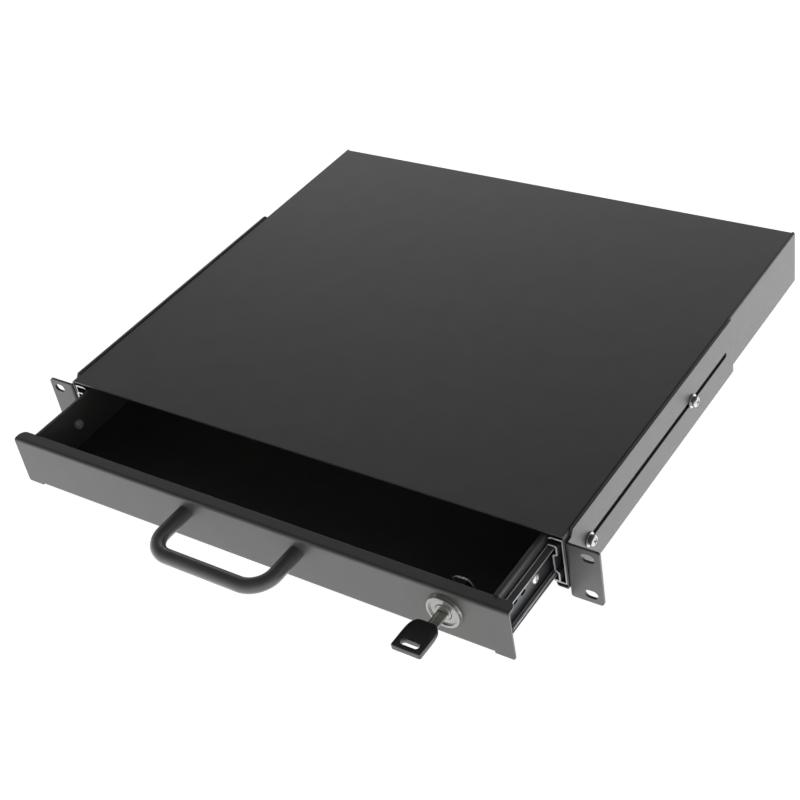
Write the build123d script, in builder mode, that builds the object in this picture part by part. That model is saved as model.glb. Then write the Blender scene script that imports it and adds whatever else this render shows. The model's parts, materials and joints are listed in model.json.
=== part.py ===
from build123d import *
import os

os.makedirs("parts", exist_ok=True)

# Rack keyboard tray. Millimetres, +Z up, the front faces -Y, +X is to the right seen from the front.
# The origin is the centre of the four ear slots, on the front face of the ears.
# The drawer stands partly open, as it is stored.

# Ears with the slot pattern of one unit of a 19 inch rack
ear_span = 482.6
ear_height = 46.0
ear_slot_inset = 8.75
ear_slot_pitch = 31.75
ear_slot_length = 9.8
ear_slot_width = 6.8
ear_corner_radius = 2.5

# Ear brackets: folded plates that the case hangs between
bracket_thickness = 2.0
bracket_bend_radius = 1.5
bracket_length = 253.5
bracket_top = 27.8
bracket_bottom = -20.2
bracket_step_start = 6.5
bracket_step_run = 3.5
bracket_corner_radius = 1.5
bracket_gap = 0.1
adjust_travel = 57.0
adjust_slot_width = 4.4
adjust_slot_spare = 0.2

# Case: one folded sheet, open at the front and underneath
case_side_inset = 25.3
case_top = 27.2
case_bottom = -19.0
case_front = 1.0
case_depth = 376.5
case_sheet = 1.2
case_bend_radius = 0.6
case_return_flange = 11.0
case_return_corner = 4.0
rear_side_gap = 0.3
rear_flat = 1.0
rear_bottom_gap = 0.6
cable_notch_width = 110.0
cable_notch_height = 24.0
cable_notch_corner = 6.0

# Screws that clamp each bracket to the case, through its long slot
clamp_front_y = 27.5
clamp_back_margin = 13.5
clamp_screw_radius = 2.0
clamp_hole_clearance = 0.2
clamp_head_radius = 4.0
clamp_head_height = 2.7
clamp_head_chamfer = 0.9
flat_washer_radius = 5.2
flat_washer_thickness = 1.0
spring_washer_radius = 3.7
spring_washer_thickness = 1.1
spring_washer_slit = 0.7
washer_running_gap = 0.05
clamp_nut_across_flats = 7.0
clamp_nut_height = 2.4
clamp_tip = 0.4

# Ball-bearing slides: three folded members a side, centred on one height
slide_height_z = 3.5
slide_width = 12.7
slide_sheet = 1.2
slide_bend = 0.9
outer_length = 350.0
outer_setback = 0.5
outer_half_height = 19.6
outer_flange = 10.8
outer_lip = 0.8
middle_length = 325.0
middle_front_y = -1.2
middle_half_height = 15.8
middle_column_face = 3.3
middle_web_face = 6.1
middle_step_low = 6.6
middle_step_high = 8.0
middle_tip = 9.9
inner_length = 350.0
inner_front_y = -59.5
inner_half_height = 12.0
inner_tip = 6.9
inner_corner_radius = 3.0
inner_hole_raise = 0.9
stop_hole_y = -42.0
stop_hole_length = 5.0
stop_hole_width = 2.6
tab_hole_y = -32.6
tab_hole_length = 6.0
tab_hole_width = 4.0

# Balls and the cages that space them
ball_radius = 1.25
ball_gap = 0.05
cage_sheet = 0.5
cage_bend = 0.5
cage_hole_clearance = 0.12
balls_per_row = 6
cage_end_margin = 8.0
outer_cage_front_y = 80.0
outer_cage_length = 165.0
outer_cage_column = 2.25
outer_cage_web = 5.1
outer_cage_tip = 9.0
outer_ball_column = 6.4
inner_cage_front_y = 76.0
inner_cage_length = 140.0
inner_cage_column = 5.3
inner_cage_web = 8.1
inner_cage_tip = 10.2
inner_ball_column = 8.2

# Drawer tray
tray_sheet = 1.2
tray_bend_radius = 1.0
tray_bottom = -15.0
tray_top = 22.8
tray_rim = 3.6
tray_back_y = 290.0
tray_notch_width = 110.0
tray_notch_floor = 8.0
tray_notch_corner = 6.0
tray_corner_gap = 0.4
tray_flange_gap = 0.3
tray_keeper_gap = 1.0
slide_screw_places = (-18.5, 115.0, 250.0)

# Front panel
panel_side_gap = 1.4
panel_front_y = -67.0
panel_sheet = 1.5
panel_bend_radius = 1.0
panel_top = 21.9
panel_bottom = -19.2
panel_top_flange = 10.0
panel_bottom_flange = 8.0
panel_bottom_flange_inset = 14.6
panel_flange_corner = 5.5
panel_face_corner = 1.6
panel_bottom_flat = 1.0

# Small screws inside the drawer
small_screw_radius = 2.0
small_hole_clearance = 0.15
small_head_radius = 3.6
small_head_height = 2.0
small_head_chamfer = 0.8
small_nut_across_flats = 7.0
small_nut_height = 3.2
small_nut_tip = 0.5

# Pull handle
handle_rod_radius = 5.5
handle_spacing = 98.0
handle_height_z = 8.0
handle_reach = 40.4
handle_bend_radius = 17.5
handle_screw_radius = 2.5
handle_screw_depth = 11.0
handle_head_radius = 4.6
handle_head_height = 3.0
handle_head_chamfer = 1.0

# Cam lock
lock_inset = 48.4
lock_z = 4.2
bezel_base_radius = 13.4
bezel_face_radius = 12.4
bezel_height = 3.0
bezel_recess_radius = 10.4
bezel_recess_depth = 1.2
bezel_edge = 0.5
barrel_radius = 9.4
barrel_flats = 16.0
barrel_back_y = -43.6
barrel_hole_clearance = 0.2
lock_nut_across_flats = 22.0
lock_nut_height = 4.0
plug_radius = 6.0
plug_running_clearance = 0.05
plug_proud = 0.6
plug_tail_width = 7.0
plug_edge = 0.4
cam_thickness = 2.0
cam_width = 12.0
cam_reach = 15.6
cam_gap = 0.2
cam_screw_radius = 1.75
cam_screw_head_radius = 3.6
cam_screw_head_height = 2.0
cam_screw_depth = 6.0
keyway_width = 8.4
keyway_height = 2.2
keyway_depth = 23.0

# Keeper under the case top, which the cam goes behind when the drawer is shut
drawer_shut_travel = 57.0
keeper_sheet = 1.5
keeper_width = 30.0
keeper_foot = 14.0
keeper_lip_bottom = 17.2
keeper_gap = 0.3
keeper_bend_radius = 1.0

# Key
key_blade_width = 8.0
key_blade_thickness = 1.8
key_tip_clearance = 1.0
key_tip_point = 2.5
bow_offset = 3.5
bow_back_y = -81.2
bow_shoulder_y = -86.8
bow_front_y = -107.6
bow_width = 22.0
bow_neck_width = 16.0
bow_thickness = 4.4
bow_corner_radius = 3.0
bow_edge_radius = 0.7
bow_slot_length = 14.0
bow_slot_width = 4.6
bow_slot_y = -101.8
bow_pocket_depth = 9.0

# Places worked out from the sizes above
ear_slot_x = ear_span / 2 - ear_slot_inset
case_width = ear_span - 2 * case_side_inset
panel_width = case_width - 2 * panel_side_gap
panel_bottom_flange_width = panel_width - 2 * panel_bottom_flange_inset
lock_x = panel_width / 2 - lock_inset
clamp_back_y = bracket_length - adjust_travel - clamp_back_margin
half_case = case_width / 2
case_back = case_front + case_depth
case_wall = half_case - case_sheet
case_ceiling = case_top - case_sheet
plate_inside = half_case + bracket_gap
plate_outside = plate_inside + bracket_thickness
tray_wall = case_wall - slide_width
panel_back_y = panel_front_y + panel_sheet
tray_front_y = panel_back_y
tray_inside_front_y = tray_front_y + tray_sheet
outer_front_y = case_front + outer_setback
flat_washer_seat = plate_outside + washer_running_gap
spring_washer_seat = flat_washer_seat + flat_washer_thickness
clamp_head_seat = spring_washer_seat + spring_washer_thickness
clamp_nut_seat = case_wall - slide_sheet
slide_web_face = tray_wall + slide_sheet
lock_nut_seat = tray_inside_front_y
cam_front_y = barrel_back_y + cam_gap
bezel_face_y = panel_front_y - bezel_height
plug_face_y = bezel_face_y + bezel_recess_depth - plug_proud


def section(y):
    """Plane across the object at a depth; an extrusion from it runs forwards."""
    return Plane.XZ.offset(-y)


def right_side(points):
    """Turn distances from the right case wall and heights about the slide centre into X and Z."""
    return [(case_wall - inward, slide_height_z + up) for inward, up in points]


def folded_strip(points, sheet, bend, front, length):
    """Bend a strip of sheet along its centre line and run it straight back from its front end."""
    with BuildPart() as strip:
        with BuildSketch(section(front + length)):
            with BuildLine():
                FilletPolyline(*points, radius=bend)
                offset(amount=sheet / 2, side=Side.BOTH)
            make_face()
        extrude(amount=length)
    return strip.part


def both_signs(upper):
    """Repeat the upper half of a section, mirrored, below the slide centre."""
    return upper + [(inward, -up) for inward, up in reversed(upper)]


# Ear bracket, right: an ear in front, a long side plate behind it, joined by a bend
with BuildPart() as bracket_right:
    with BuildSketch(Plane.XY.offset(-ear_height / 2)):
        with BuildLine():
            FilletPolyline(
                (ear_span / 2, 0),
                (plate_inside, 0),
                (plate_inside, bracket_length),
                radius=bracket_bend_radius + bracket_thickness,
            )
            offset(amount=bracket_thickness, side=Side.RIGHT)
        make_face()
    extrude(amount=ear_height / 2 + bracket_top)
    # The top edge steps down to the ear, and the bottom edge steps up behind it
    with BuildSketch(Plane.YZ.offset(plate_inside - 1)):
        with BuildLine():
            Polyline(
                (-1, ear_height / 2),
                (bracket_step_start, ear_height / 2),
                (bracket_step_start + bracket_step_run, bracket_top),
                (bracket_step_start + bracket_step_run, bracket_top + 1),
                (-1, bracket_top + 1),
                close=True,
            )
        make_face()
        with BuildLine():
            Polyline(
                (bracket_step_start, -ear_height / 2 - 1),
                (bracket_step_start, -ear_height / 2),
                (bracket_step_start + bracket_step_run, bracket_bottom),
                (bracket_length + 1, bracket_bottom),
                (bracket_length + 1, -ear_height / 2 - 1),
                close=True,
            )
        make_face()
    extrude(amount=ear_span / 2, mode=Mode.SUBTRACT)
    ear_corners = bracket_right.edges().filter_by(Axis.Y)
    fillet(ear_corners.filter_by(lambda edge: edge.center().X > ear_span / 2 - 0.01), ear_corner_radius)
    plate_corners = bracket_right.edges().filter_by(Axis.X)
    far_corners = plate_corners.filter_by(lambda edge: edge.center().Y > bracket_length - 0.01)
    fillet(far_corners, bracket_corner_radius)
    # Two slots in the ear
    with BuildSketch(section(bracket_thickness)):
        with Locations((ear_slot_x, ear_slot_pitch / 2), (ear_slot_x, -ear_slot_pitch / 2)):
            SlotOverall(ear_slot_length, ear_slot_width)
    extrude(amount=bracket_thickness, mode=Mode.SUBTRACT)
    # One long slot in the side plate, which sets how far back the case hangs
    adjust_slot_front = clamp_front_y - adjust_slot_width / 2 - adjust_slot_spare
    adjust_slot_back = clamp_back_y + adjust_travel + adjust_slot_width / 2 + adjust_slot_spare
    with BuildSketch(Plane.YZ.offset(plate_inside)):
        with Locations(((adjust_slot_front + adjust_slot_back) / 2, slide_height_z)):
            SlotOverall(adjust_slot_back - adjust_slot_front, adjust_slot_width)
    extrude(amount=bracket_thickness, mode=Mode.SUBTRACT)
bracket_right.part.label = "bracket_right"
export_step(bracket_right.part, "parts/bracket_right.step")

# Ear bracket, left
with BuildPart() as bracket_left:
    mirror(bracket_right.part, about=Plane.YZ)
bracket_left.part.label = "bracket_left"
export_step(bracket_left.part, "parts/bracket_left.step")

# Case: top, sides and bottom return flanges in one fold, with the rear wall folded down from the top
with BuildPart() as case_shell:
    with BuildSketch(section(case_back)):
        with BuildLine():
            FilletPolyline(
                (-half_case + case_return_flange, case_bottom),
                (-half_case, case_bottom),
                (-half_case, case_top),
                (half_case, case_top),
                (half_case, case_bottom),
                (half_case - case_return_flange, case_bottom),
                radius=case_bend_radius + case_sheet,
            )
            offset(amount=case_sheet, side=Side.RIGHT)
        make_face()
    extrude(amount=case_depth)
    flange_corners = case_shell.edges().filter_by(Axis.Z)
    flange_edge = half_case - case_return_flange
    fillet(
        flange_corners.filter_by(lambda edge: abs(abs(edge.center().X) - flange_edge) < 0.01),
        case_return_corner,
    )
    # The back strip of the top makes way for the bend of the rear wall
    rear_half = case_wall - case_bend_radius - rear_side_gap
    rear_bend_outside = case_bend_radius + case_sheet
    rear_strip = rear_bend_outside + rear_flat
    with BuildSketch(Plane.XY.offset(case_ceiling)):
        with Locations((0, case_back - rear_strip / 2)):
            Rectangle(2 * rear_half, rear_strip)
    extrude(amount=case_sheet, mode=Mode.SUBTRACT)
    with BuildSketch(Plane.YZ):
        with BuildLine():
            FilletPolyline(
                (case_back - rear_strip, case_top),
                (case_back, case_top),
                (case_back, case_bottom + case_sheet + rear_bottom_gap),
                radius=rear_bend_outside,
            )
            offset(amount=case_sheet, side=Side.RIGHT)
        make_face()
    extrude(amount=rear_half, both=True)
    # Notch for the keyboard lead in the rear wall
    notch_floor = case_bottom + case_sheet
    with BuildSketch(section(case_back)):
        with Locations((0, notch_floor)):
            Rectangle(cable_notch_width, 2 * cable_notch_height)
        fillet(vertices(), cable_notch_corner)
    extrude(amount=case_sheet, mode=Mode.SUBTRACT)
    # Holes for the clamp screws
    with BuildSketch(Plane.YZ):
        with Locations((clamp_front_y, slide_height_z), (clamp_back_y, slide_height_z)):
            Circle(clamp_screw_radius + clamp_hole_clearance)
    extrude(amount=half_case, both=True, mode=Mode.SUBTRACT)
case_shell.part.label = "case_shell"
export_step(case_shell.part, "parts/case_shell.step")

# Outer slide member, right: a deep channel fixed to the case wall
outer_edge = outer_half_height - slide_sheet / 2
outer_section = right_side(
    both_signs(
        [
            (outer_flange - slide_sheet / 2, outer_edge - outer_lip),
            (outer_flange - slide_sheet - outer_lip, outer_edge),
            (slide_sheet / 2, outer_edge),
        ]
    )
)
outer_strip = folded_strip(outer_section, slide_sheet, slide_bend, outer_front_y, outer_length)
with BuildPart() as slide_outer_right:
    add(outer_strip)
    with BuildSketch(Plane.YZ.offset(case_wall - slide_sheet)):
        with Locations((clamp_front_y, slide_height_z), (clamp_back_y, slide_height_z)):
            Circle(clamp_screw_radius + clamp_hole_clearance)
    extrude(amount=slide_sheet, mode=Mode.SUBTRACT)
slide_outer_right.part.label = "slide_outer_right"
export_step(slide_outer_right.part, "parts/slide_outer_right.step")

# Outer slide member, left
with BuildPart() as slide_outer_left:
    mirror(slide_outer_right.part, about=Plane.YZ)
slide_outer_left.part.label = "slide_outer_left"
export_step(slide_outer_left.part, "parts/slide_outer_left.step")

# Middle slide member, right: raceways top and bottom, with the web stepped inwards between them
middle_edge = middle_half_height - slide_sheet / 2
middle_section = right_side(
    both_signs(
        [
            (middle_tip - slide_sheet / 2, middle_edge),
            (middle_column_face + slide_sheet / 2, middle_edge),
            (middle_column_face + slide_sheet / 2, middle_step_high),
            (middle_web_face + slide_sheet / 2, middle_step_low),
        ]
    )
)
middle_strip = folded_strip(middle_section, slide_sheet, slide_bend, middle_front_y, middle_length)
with BuildPart() as slide_middle_right:
    add(middle_strip)
slide_middle_right.part.label = "slide_middle_right"
export_step(slide_middle_right.part, "parts/slide_middle_right.step")

# Middle slide member, left
with BuildPart() as slide_middle_left:
    mirror(slide_middle_right.part, about=Plane.YZ)
slide_middle_left.part.label = "slide_middle_left"
export_step(slide_middle_left.part, "parts/slide_middle_left.step")

# Inner slide member, right: a shallow channel on the tray wall, open towards the case
inner_edge = inner_half_height - slide_sheet / 2
inner_web = slide_width - slide_sheet / 2
inner_section = right_side(both_signs([(inner_tip, inner_edge), (inner_web, inner_edge)]))
inner_strip = folded_strip(inner_section, slide_sheet, slide_bend, inner_front_y, inner_length)
with BuildPart() as slide_inner_right:
    add(inner_strip)
    with BuildSketch(Plane.YZ.offset(tray_wall)):
        with Locations(*[(place, slide_height_z) for place in slide_screw_places]):
            Circle(small_screw_radius + small_hole_clearance)
        with Locations((stop_hole_y, slide_height_z + inner_hole_raise)):
            SlotOverall(stop_hole_length, stop_hole_width)
        with Locations((tab_hole_y, slide_height_z + inner_hole_raise)):
            SlotOverall(tab_hole_length, tab_hole_width)
    extrude(amount=slide_sheet, mode=Mode.SUBTRACT)
    # The front end of both flanges is rounded off
    tip_x = case_wall - inner_tip + slide_sheet / 2
    with BuildSketch(Plane.XY.offset(slide_height_z)):
        with Locations((tip_x - inner_corner_radius / 2, inner_front_y + inner_corner_radius / 2)):
            Rectangle(inner_corner_radius, inner_corner_radius)
        with Locations((tip_x - inner_corner_radius, inner_front_y + inner_corner_radius)):
            Circle(inner_corner_radius, mode=Mode.SUBTRACT)
    extrude(amount=inner_half_height, both=True, mode=Mode.SUBTRACT)
slide_inner_right.part.label = "slide_inner_right"
export_step(slide_inner_right.part, "parts/slide_inner_right.step")

# Inner slide member, left
with BuildPart() as slide_inner_left:
    mirror(slide_inner_right.part, about=Plane.YZ)
slide_inner_left.part.label = "slide_inner_left"
export_step(slide_inner_left.part, "parts/slide_inner_left.step")

# Balls: two rows a cage, above and below the slide centre
outer_ball_height = middle_half_height + ball_gap + ball_radius
inner_ball_height = inner_half_height + ball_gap + ball_radius


def ball_places(column, height, front, length):
    """Centres of the balls of one right-hand cage, spaced evenly along both of its rows."""
    step = (length - 2 * cage_end_margin) / (balls_per_row - 1)
    rows = right_side([(column, height), (column, -height)])
    return [
        (x, front + cage_end_margin + step * number, z)
        for x, z in rows
        for number in range(balls_per_row)
    ]


def ball_cage(upper, places, front, length):
    """Fold a cage strip and pierce both of its flanges at each ball."""
    strip = folded_strip(right_side(both_signs(upper)), cage_sheet, cage_bend, front, length)
    with BuildPart() as cage:
        add(strip)
        with Locations(*places):
            Cylinder(ball_radius + cage_hole_clearance, 2 * cage_sheet, mode=Mode.SUBTRACT)
    return cage


outer_balls = ball_places(outer_ball_column, outer_ball_height, outer_cage_front_y, outer_cage_length)
inner_balls = ball_places(inner_ball_column, inner_ball_height, inner_cage_front_y, inner_cage_length)

# Cage between the outer and middle members, right
cage_outer_right = ball_cage(
    [
        (outer_cage_tip, outer_ball_height),
        (outer_cage_column, outer_ball_height),
        (outer_cage_column, middle_step_high - 0.3),
        (outer_cage_web, middle_step_low - 0.5),
    ],
    outer_balls,
    outer_cage_front_y,
    outer_cage_length,
)
cage_outer_right.part.label = "cage_outer_right"
export_step(cage_outer_right.part, "parts/cage_outer_right.step")

# Cage between the outer and middle members, left
with BuildPart() as cage_outer_left:
    mirror(cage_outer_right.part, about=Plane.YZ)
cage_outer_left.part.label = "cage_outer_left"
export_step(cage_outer_left.part, "parts/cage_outer_left.step")

# Cage between the middle and inner members, right
cage_inner_right = ball_cage(
    [
        (inner_cage_tip, inner_ball_height),
        (inner_cage_column, inner_ball_height),
        (inner_cage_column, middle_step_high + 1.6),
        (inner_cage_web, middle_step_low + 1.3),
    ],
    inner_balls,
    inner_cage_front_y,
    inner_cage_length,
)
cage_inner_right.part.label = "cage_inner_right"
export_step(cage_inner_right.part, "parts/cage_inner_right.step")

# Cage between the middle and inner members, left
with BuildPart() as cage_inner_left:
    mirror(cage_inner_right.part, about=Plane.YZ)
cage_inner_left.part.label = "cage_inner_left"
export_step(cage_inner_left.part, "parts/cage_inner_left.step")

# Balls in the outer cages
with BuildPart() as balls_outer_right:
    with Locations(*outer_balls):
        Sphere(ball_radius)
balls_outer_right.part.label = "balls_outer_right"
export_step(balls_outer_right.part, "parts/balls_outer_right.step")

with BuildPart() as balls_outer_left:
    mirror(balls_outer_right.part, about=Plane.YZ)
balls_outer_left.part.label = "balls_outer_left"
export_step(balls_outer_left.part, "parts/balls_outer_left.step")

# Balls in the inner cages
with BuildPart() as balls_inner_right:
    with Locations(*inner_balls):
        Sphere(ball_radius)
balls_inner_right.part.label = "balls_inner_right"
export_step(balls_inner_right.part, "parts/balls_inner_right.step")

with BuildPart() as balls_inner_left:
    mirror(balls_inner_right.part, about=Plane.YZ)
balls_inner_left.part.label = "balls_inner_left"
export_step(balls_inner_left.part, "parts/balls_inner_left.step")


# Clamp screws, washers and nuts, two a side
def at_clamps(x):
    """Plane on the right side at a distance from the middle, for what stands at the clamp screws."""
    return Plane.YZ.offset(x)


clamp_places = [(clamp_front_y, slide_height_z), (clamp_back_y, slide_height_z)]
clamp_nut_top = clamp_nut_seat - clamp_nut_height

with BuildPart() as bracket_screws:
    with BuildSketch(at_clamps(clamp_nut_top - clamp_tip)):
        with Locations(*clamp_places):
            Circle(clamp_screw_radius)
    extrude(amount=clamp_head_seat - clamp_nut_top + clamp_tip)
    with BuildSketch(at_clamps(clamp_head_seat)):
        with Locations(*clamp_places):
            Circle(clamp_head_radius)
    extrude(amount=clamp_head_height)
    chamfer(bracket_screws.edges().group_by(Axis.X)[-1], clamp_head_chamfer)
    mirror(about=Plane.YZ)
bracket_screws.part.label = "bracket_screws"
export_step(bracket_screws.part, "parts/bracket_screws.step")

with BuildPart() as bracket_spring_washers:
    with BuildSketch(at_clamps(spring_washer_seat)):
        with Locations(*clamp_places):
            Circle(spring_washer_radius)
            Circle(clamp_screw_radius, mode=Mode.SUBTRACT)
            with Locations((0, spring_washer_radius / 2)):
                Rectangle(spring_washer_slit, spring_washer_radius + 1, rotation=20, mode=Mode.SUBTRACT)
    extrude(amount=spring_washer_thickness)
    mirror(about=Plane.YZ)
bracket_spring_washers.part.label = "bracket_spring_washers"
export_step(bracket_spring_washers.part, "parts/bracket_spring_washers.step")

with BuildPart() as bracket_flat_washers:
    with BuildSketch(at_clamps(flat_washer_seat)):
        with Locations(*clamp_places):
            Circle(flat_washer_radius)
            Circle(clamp_screw_radius, mode=Mode.SUBTRACT)
    extrude(amount=flat_washer_thickness)
    mirror(about=Plane.YZ)
bracket_flat_washers.part.label = "bracket_flat_washers"
export_step(bracket_flat_washers.part, "parts/bracket_flat_washers.step")

with BuildPart() as bracket_nuts:
    with BuildSketch(at_clamps(clamp_nut_top)):
        with Locations(*clamp_places):
            RegularPolygon(clamp_nut_across_flats / 2, 6, major_radius=False)
            Circle(clamp_screw_radius, mode=Mode.SUBTRACT)
    extrude(amount=clamp_nut_height)
    mirror(about=Plane.YZ)
bracket_nuts.part.label = "bracket_nuts"
export_step(bracket_nuts.part, "parts/bracket_nuts.step")

# Drawer tray: floor and side walls with rolled-in rims, then the front and rear walls
tray_half = tray_wall
tray_rim_edge = tray_half - tray_rim
tray_bend_outside = tray_bend_radius + tray_sheet
with BuildPart() as drawer_tray:
    with BuildSketch(section(tray_back_y)):
        with BuildLine():
            FilletPolyline(
                (-tray_rim_edge, tray_top),
                (-tray_half, tray_top),
                (-tray_half, tray_bottom),
                (tray_half, tray_bottom),
                (tray_half, tray_top),
                (tray_rim_edge, tray_top),
                radius=tray_bend_outside,
            )
            offset(amount=tray_sheet, side=Side.LEFT)
        make_face()
    extrude(amount=tray_back_y - tray_front_y)
    # The side walls stay below the panel's top flange where they pass under it
    under_flange = panel_top_flange - panel_sheet + tray_flange_gap
    wall_top = panel_top - panel_sheet - panel_bend_radius
    with BuildSketch(Plane.XY.offset(wall_top)):
        with Locations((0, tray_front_y + under_flange / 2)):
            Rectangle(2 * tray_half, under_flange)
    extrude(amount=panel_top_flange, mode=Mode.SUBTRACT)
    # Front wall behind the panel, and a rear wall that passes under the keeper, notched for the lead
    wall_half = tray_half - tray_sheet - tray_corner_gap
    wall_bottom = tray_bottom + tray_sheet
    front_wall_height = wall_top - wall_bottom
    with BuildSketch(section(tray_inside_front_y)):
        with Locations((0, wall_bottom + front_wall_height / 2)):
            Rectangle(2 * wall_half, front_wall_height)
    extrude(amount=tray_sheet)
    rear_wall_top = keeper_lip_bottom - tray_keeper_gap
    rear_wall_height = rear_wall_top - wall_bottom
    with BuildSketch(section(tray_back_y)):
        with Locations((0, wall_bottom + rear_wall_height / 2)):
            Rectangle(2 * wall_half, rear_wall_height)
    extrude(amount=tray_sheet)
    with BuildSketch(section(tray_back_y)):
        with Locations((0, rear_wall_top)):
            Rectangle(tray_notch_width, 2 * (rear_wall_top - tray_notch_floor))
        fillet(vertices(), tray_notch_corner)
    extrude(amount=tray_sheet, mode=Mode.SUBTRACT)
    # Holes for the slide screws
    with BuildSketch(Plane.YZ):
        with Locations(*[(place, slide_height_z) for place in slide_screw_places]):
            Circle(small_screw_radius + small_hole_clearance)
    extrude(amount=tray_half, both=True, mode=Mode.SUBTRACT)
    # Holes in the front wall for the handle and the lock
    with BuildSketch(section(tray_inside_front_y)):
        with Locations((-handle_spacing / 2, handle_height_z), (handle_spacing / 2, handle_height_z)):
            Circle(handle_screw_radius + small_hole_clearance)
        with Locations((lock_x, lock_z)):
            Circle(barrel_radius + barrel_hole_clearance)
    extrude(amount=tray_sheet, mode=Mode.SUBTRACT)
drawer_tray.part.label = "drawer_tray"
export_step(drawer_tray.part, "parts/drawer_tray.step")

# Front panel: a flat face with a flange turned back along the top and most of the bottom
panel_half = panel_width / 2
panel_bend_outside = panel_bend_radius + panel_sheet
flange_half = panel_bottom_flange_width / 2
panel_bottom_strip = panel_bend_outside + panel_bottom_flat
with BuildPart() as front_panel:
    with BuildSketch(Plane.YZ):
        with BuildLine():
            FilletPolyline(
                (panel_front_y + panel_top_flange, panel_top),
                (panel_front_y, panel_top),
                (panel_front_y, panel_bottom),
                radius=panel_bend_outside,
            )
            offset(amount=panel_sheet, side=Side.LEFT)
        make_face()
    extrude(amount=panel_half, both=True)
    with BuildSketch(section(panel_back_y)):
        with Locations((0, panel_bottom + panel_bottom_strip / 2)):
            Rectangle(panel_bottom_flange_width, panel_bottom_strip)
    extrude(amount=panel_sheet, mode=Mode.SUBTRACT)
    with BuildSketch(Plane.YZ):
        with BuildLine():
            FilletPolyline(
                (panel_front_y, panel_bottom + panel_bottom_strip),
                (panel_front_y, panel_bottom),
                (panel_front_y + panel_bottom_flange, panel_bottom),
                radius=panel_bend_outside,
            )
            offset(amount=panel_sheet, side=Side.LEFT)
        make_face()
    extrude(amount=flange_half, both=True)
    panel_edges = front_panel.edges()
    fillet(
        panel_edges.filter_by(Axis.Y).filter_by(
            lambda edge: abs(edge.center().X) > panel_half - 0.01 and edge.center().Z < panel_bottom + 0.01
        ),
        panel_face_corner,
    )
    fillet(
        panel_edges.filter_by(Axis.Z).filter_by(
            lambda edge: abs(edge.center().X) > panel_half - 0.01
            and edge.center().Y > panel_front_y + panel_top_flange - 0.01
        ),
        panel_flange_corner,
    )
    # Holes for the handle and the lock
    with BuildSketch(section(panel_back_y)):
        with Locations((-handle_spacing / 2, handle_height_z), (handle_spacing / 2, handle_height_z)):
            Circle(handle_screw_radius + small_hole_clearance)
        with Locations((lock_x, lock_z)):
            Circle(barrel_radius + barrel_hole_clearance)
    extrude(amount=panel_sheet, mode=Mode.SUBTRACT)
front_panel.part.label = "front_panel"
export_step(front_panel.part, "parts/front_panel.step")

# Screws and nuts that hold the inner slide members to the tray walls
slide_screw_spots = [(place, slide_height_z) for place in slide_screw_places]
tray_inside = tray_half - tray_sheet
with BuildPart() as drawer_slide_screws:
    with BuildSketch(Plane.YZ.offset(tray_inside - small_nut_height - small_nut_tip)):
        with Locations(*slide_screw_spots):
            Circle(small_screw_radius)
    extrude(amount=slide_web_face - tray_inside + small_nut_height + small_nut_tip)
    with BuildSketch(Plane.YZ.offset(slide_web_face)):
        with Locations(*slide_screw_spots):
            Circle(small_head_radius)
    extrude(amount=small_head_height)
    chamfer(drawer_slide_screws.edges().group_by(Axis.X)[-1], small_head_chamfer)
    mirror(about=Plane.YZ)
drawer_slide_screws.part.label = "drawer_slide_screws"
export_step(drawer_slide_screws.part, "parts/drawer_slide_screws.step")

with BuildPart() as drawer_slide_nuts:
    with BuildSketch(Plane.YZ.offset(tray_inside - small_nut_height)):
        with Locations(*slide_screw_spots):
            RegularPolygon(small_nut_across_flats / 2, 6, major_radius=False)
            Circle(small_screw_radius, mode=Mode.SUBTRACT)
    extrude(amount=small_nut_height)
    mirror(about=Plane.YZ)
drawer_slide_nuts.part.label = "drawer_slide_nuts"
export_step(drawer_slide_nuts.part, "parts/drawer_slide_nuts.step")

# Pull handle: one bent rod with a tapped hole in each end
handle_half = handle_spacing / 2
handle_front_y = panel_front_y - handle_reach
with BuildPart() as handle:
    with BuildLine() as handle_line:
        FilletPolyline(
            (-handle_half, panel_front_y, handle_height_z),
            (-handle_half, handle_front_y, handle_height_z),
            (handle_half, handle_front_y, handle_height_z),
            (handle_half, panel_front_y, handle_height_z),
            radius=handle_bend_radius,
        )
    with BuildSketch(section(panel_front_y)):
        with Locations((-handle_half, handle_height_z)):
            Circle(handle_rod_radius)
    sweep(path=handle_line.line)
    with BuildSketch(section(panel_front_y)):
        with Locations((-handle_half, handle_height_z), (handle_half, handle_height_z)):
            Circle(handle_screw_radius)
    extrude(amount=handle_screw_depth, mode=Mode.SUBTRACT)
handle.part.label = "handle"
export_step(handle.part, "parts/handle.step")

with BuildPart() as handle_screws:
    with BuildSketch(section(tray_inside_front_y)):
        with Locations((-handle_half, handle_height_z), (handle_half, handle_height_z)):
            Circle(handle_screw_radius)
    extrude(amount=tray_inside_front_y - panel_front_y + handle_screw_depth - clamp_tip)
    with BuildSketch(section(tray_inside_front_y + handle_head_height)):
        with Locations((-handle_half, handle_height_z), (handle_half, handle_height_z)):
            Circle(handle_head_radius)
    extrude(amount=handle_head_height)
    chamfer(handle_screws.edges().group_by(Axis.Y)[-1], handle_head_chamfer)
handle_screws.part.label = "handle_screws"
export_step(handle_screws.part, "parts/handle_screws.step")

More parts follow.
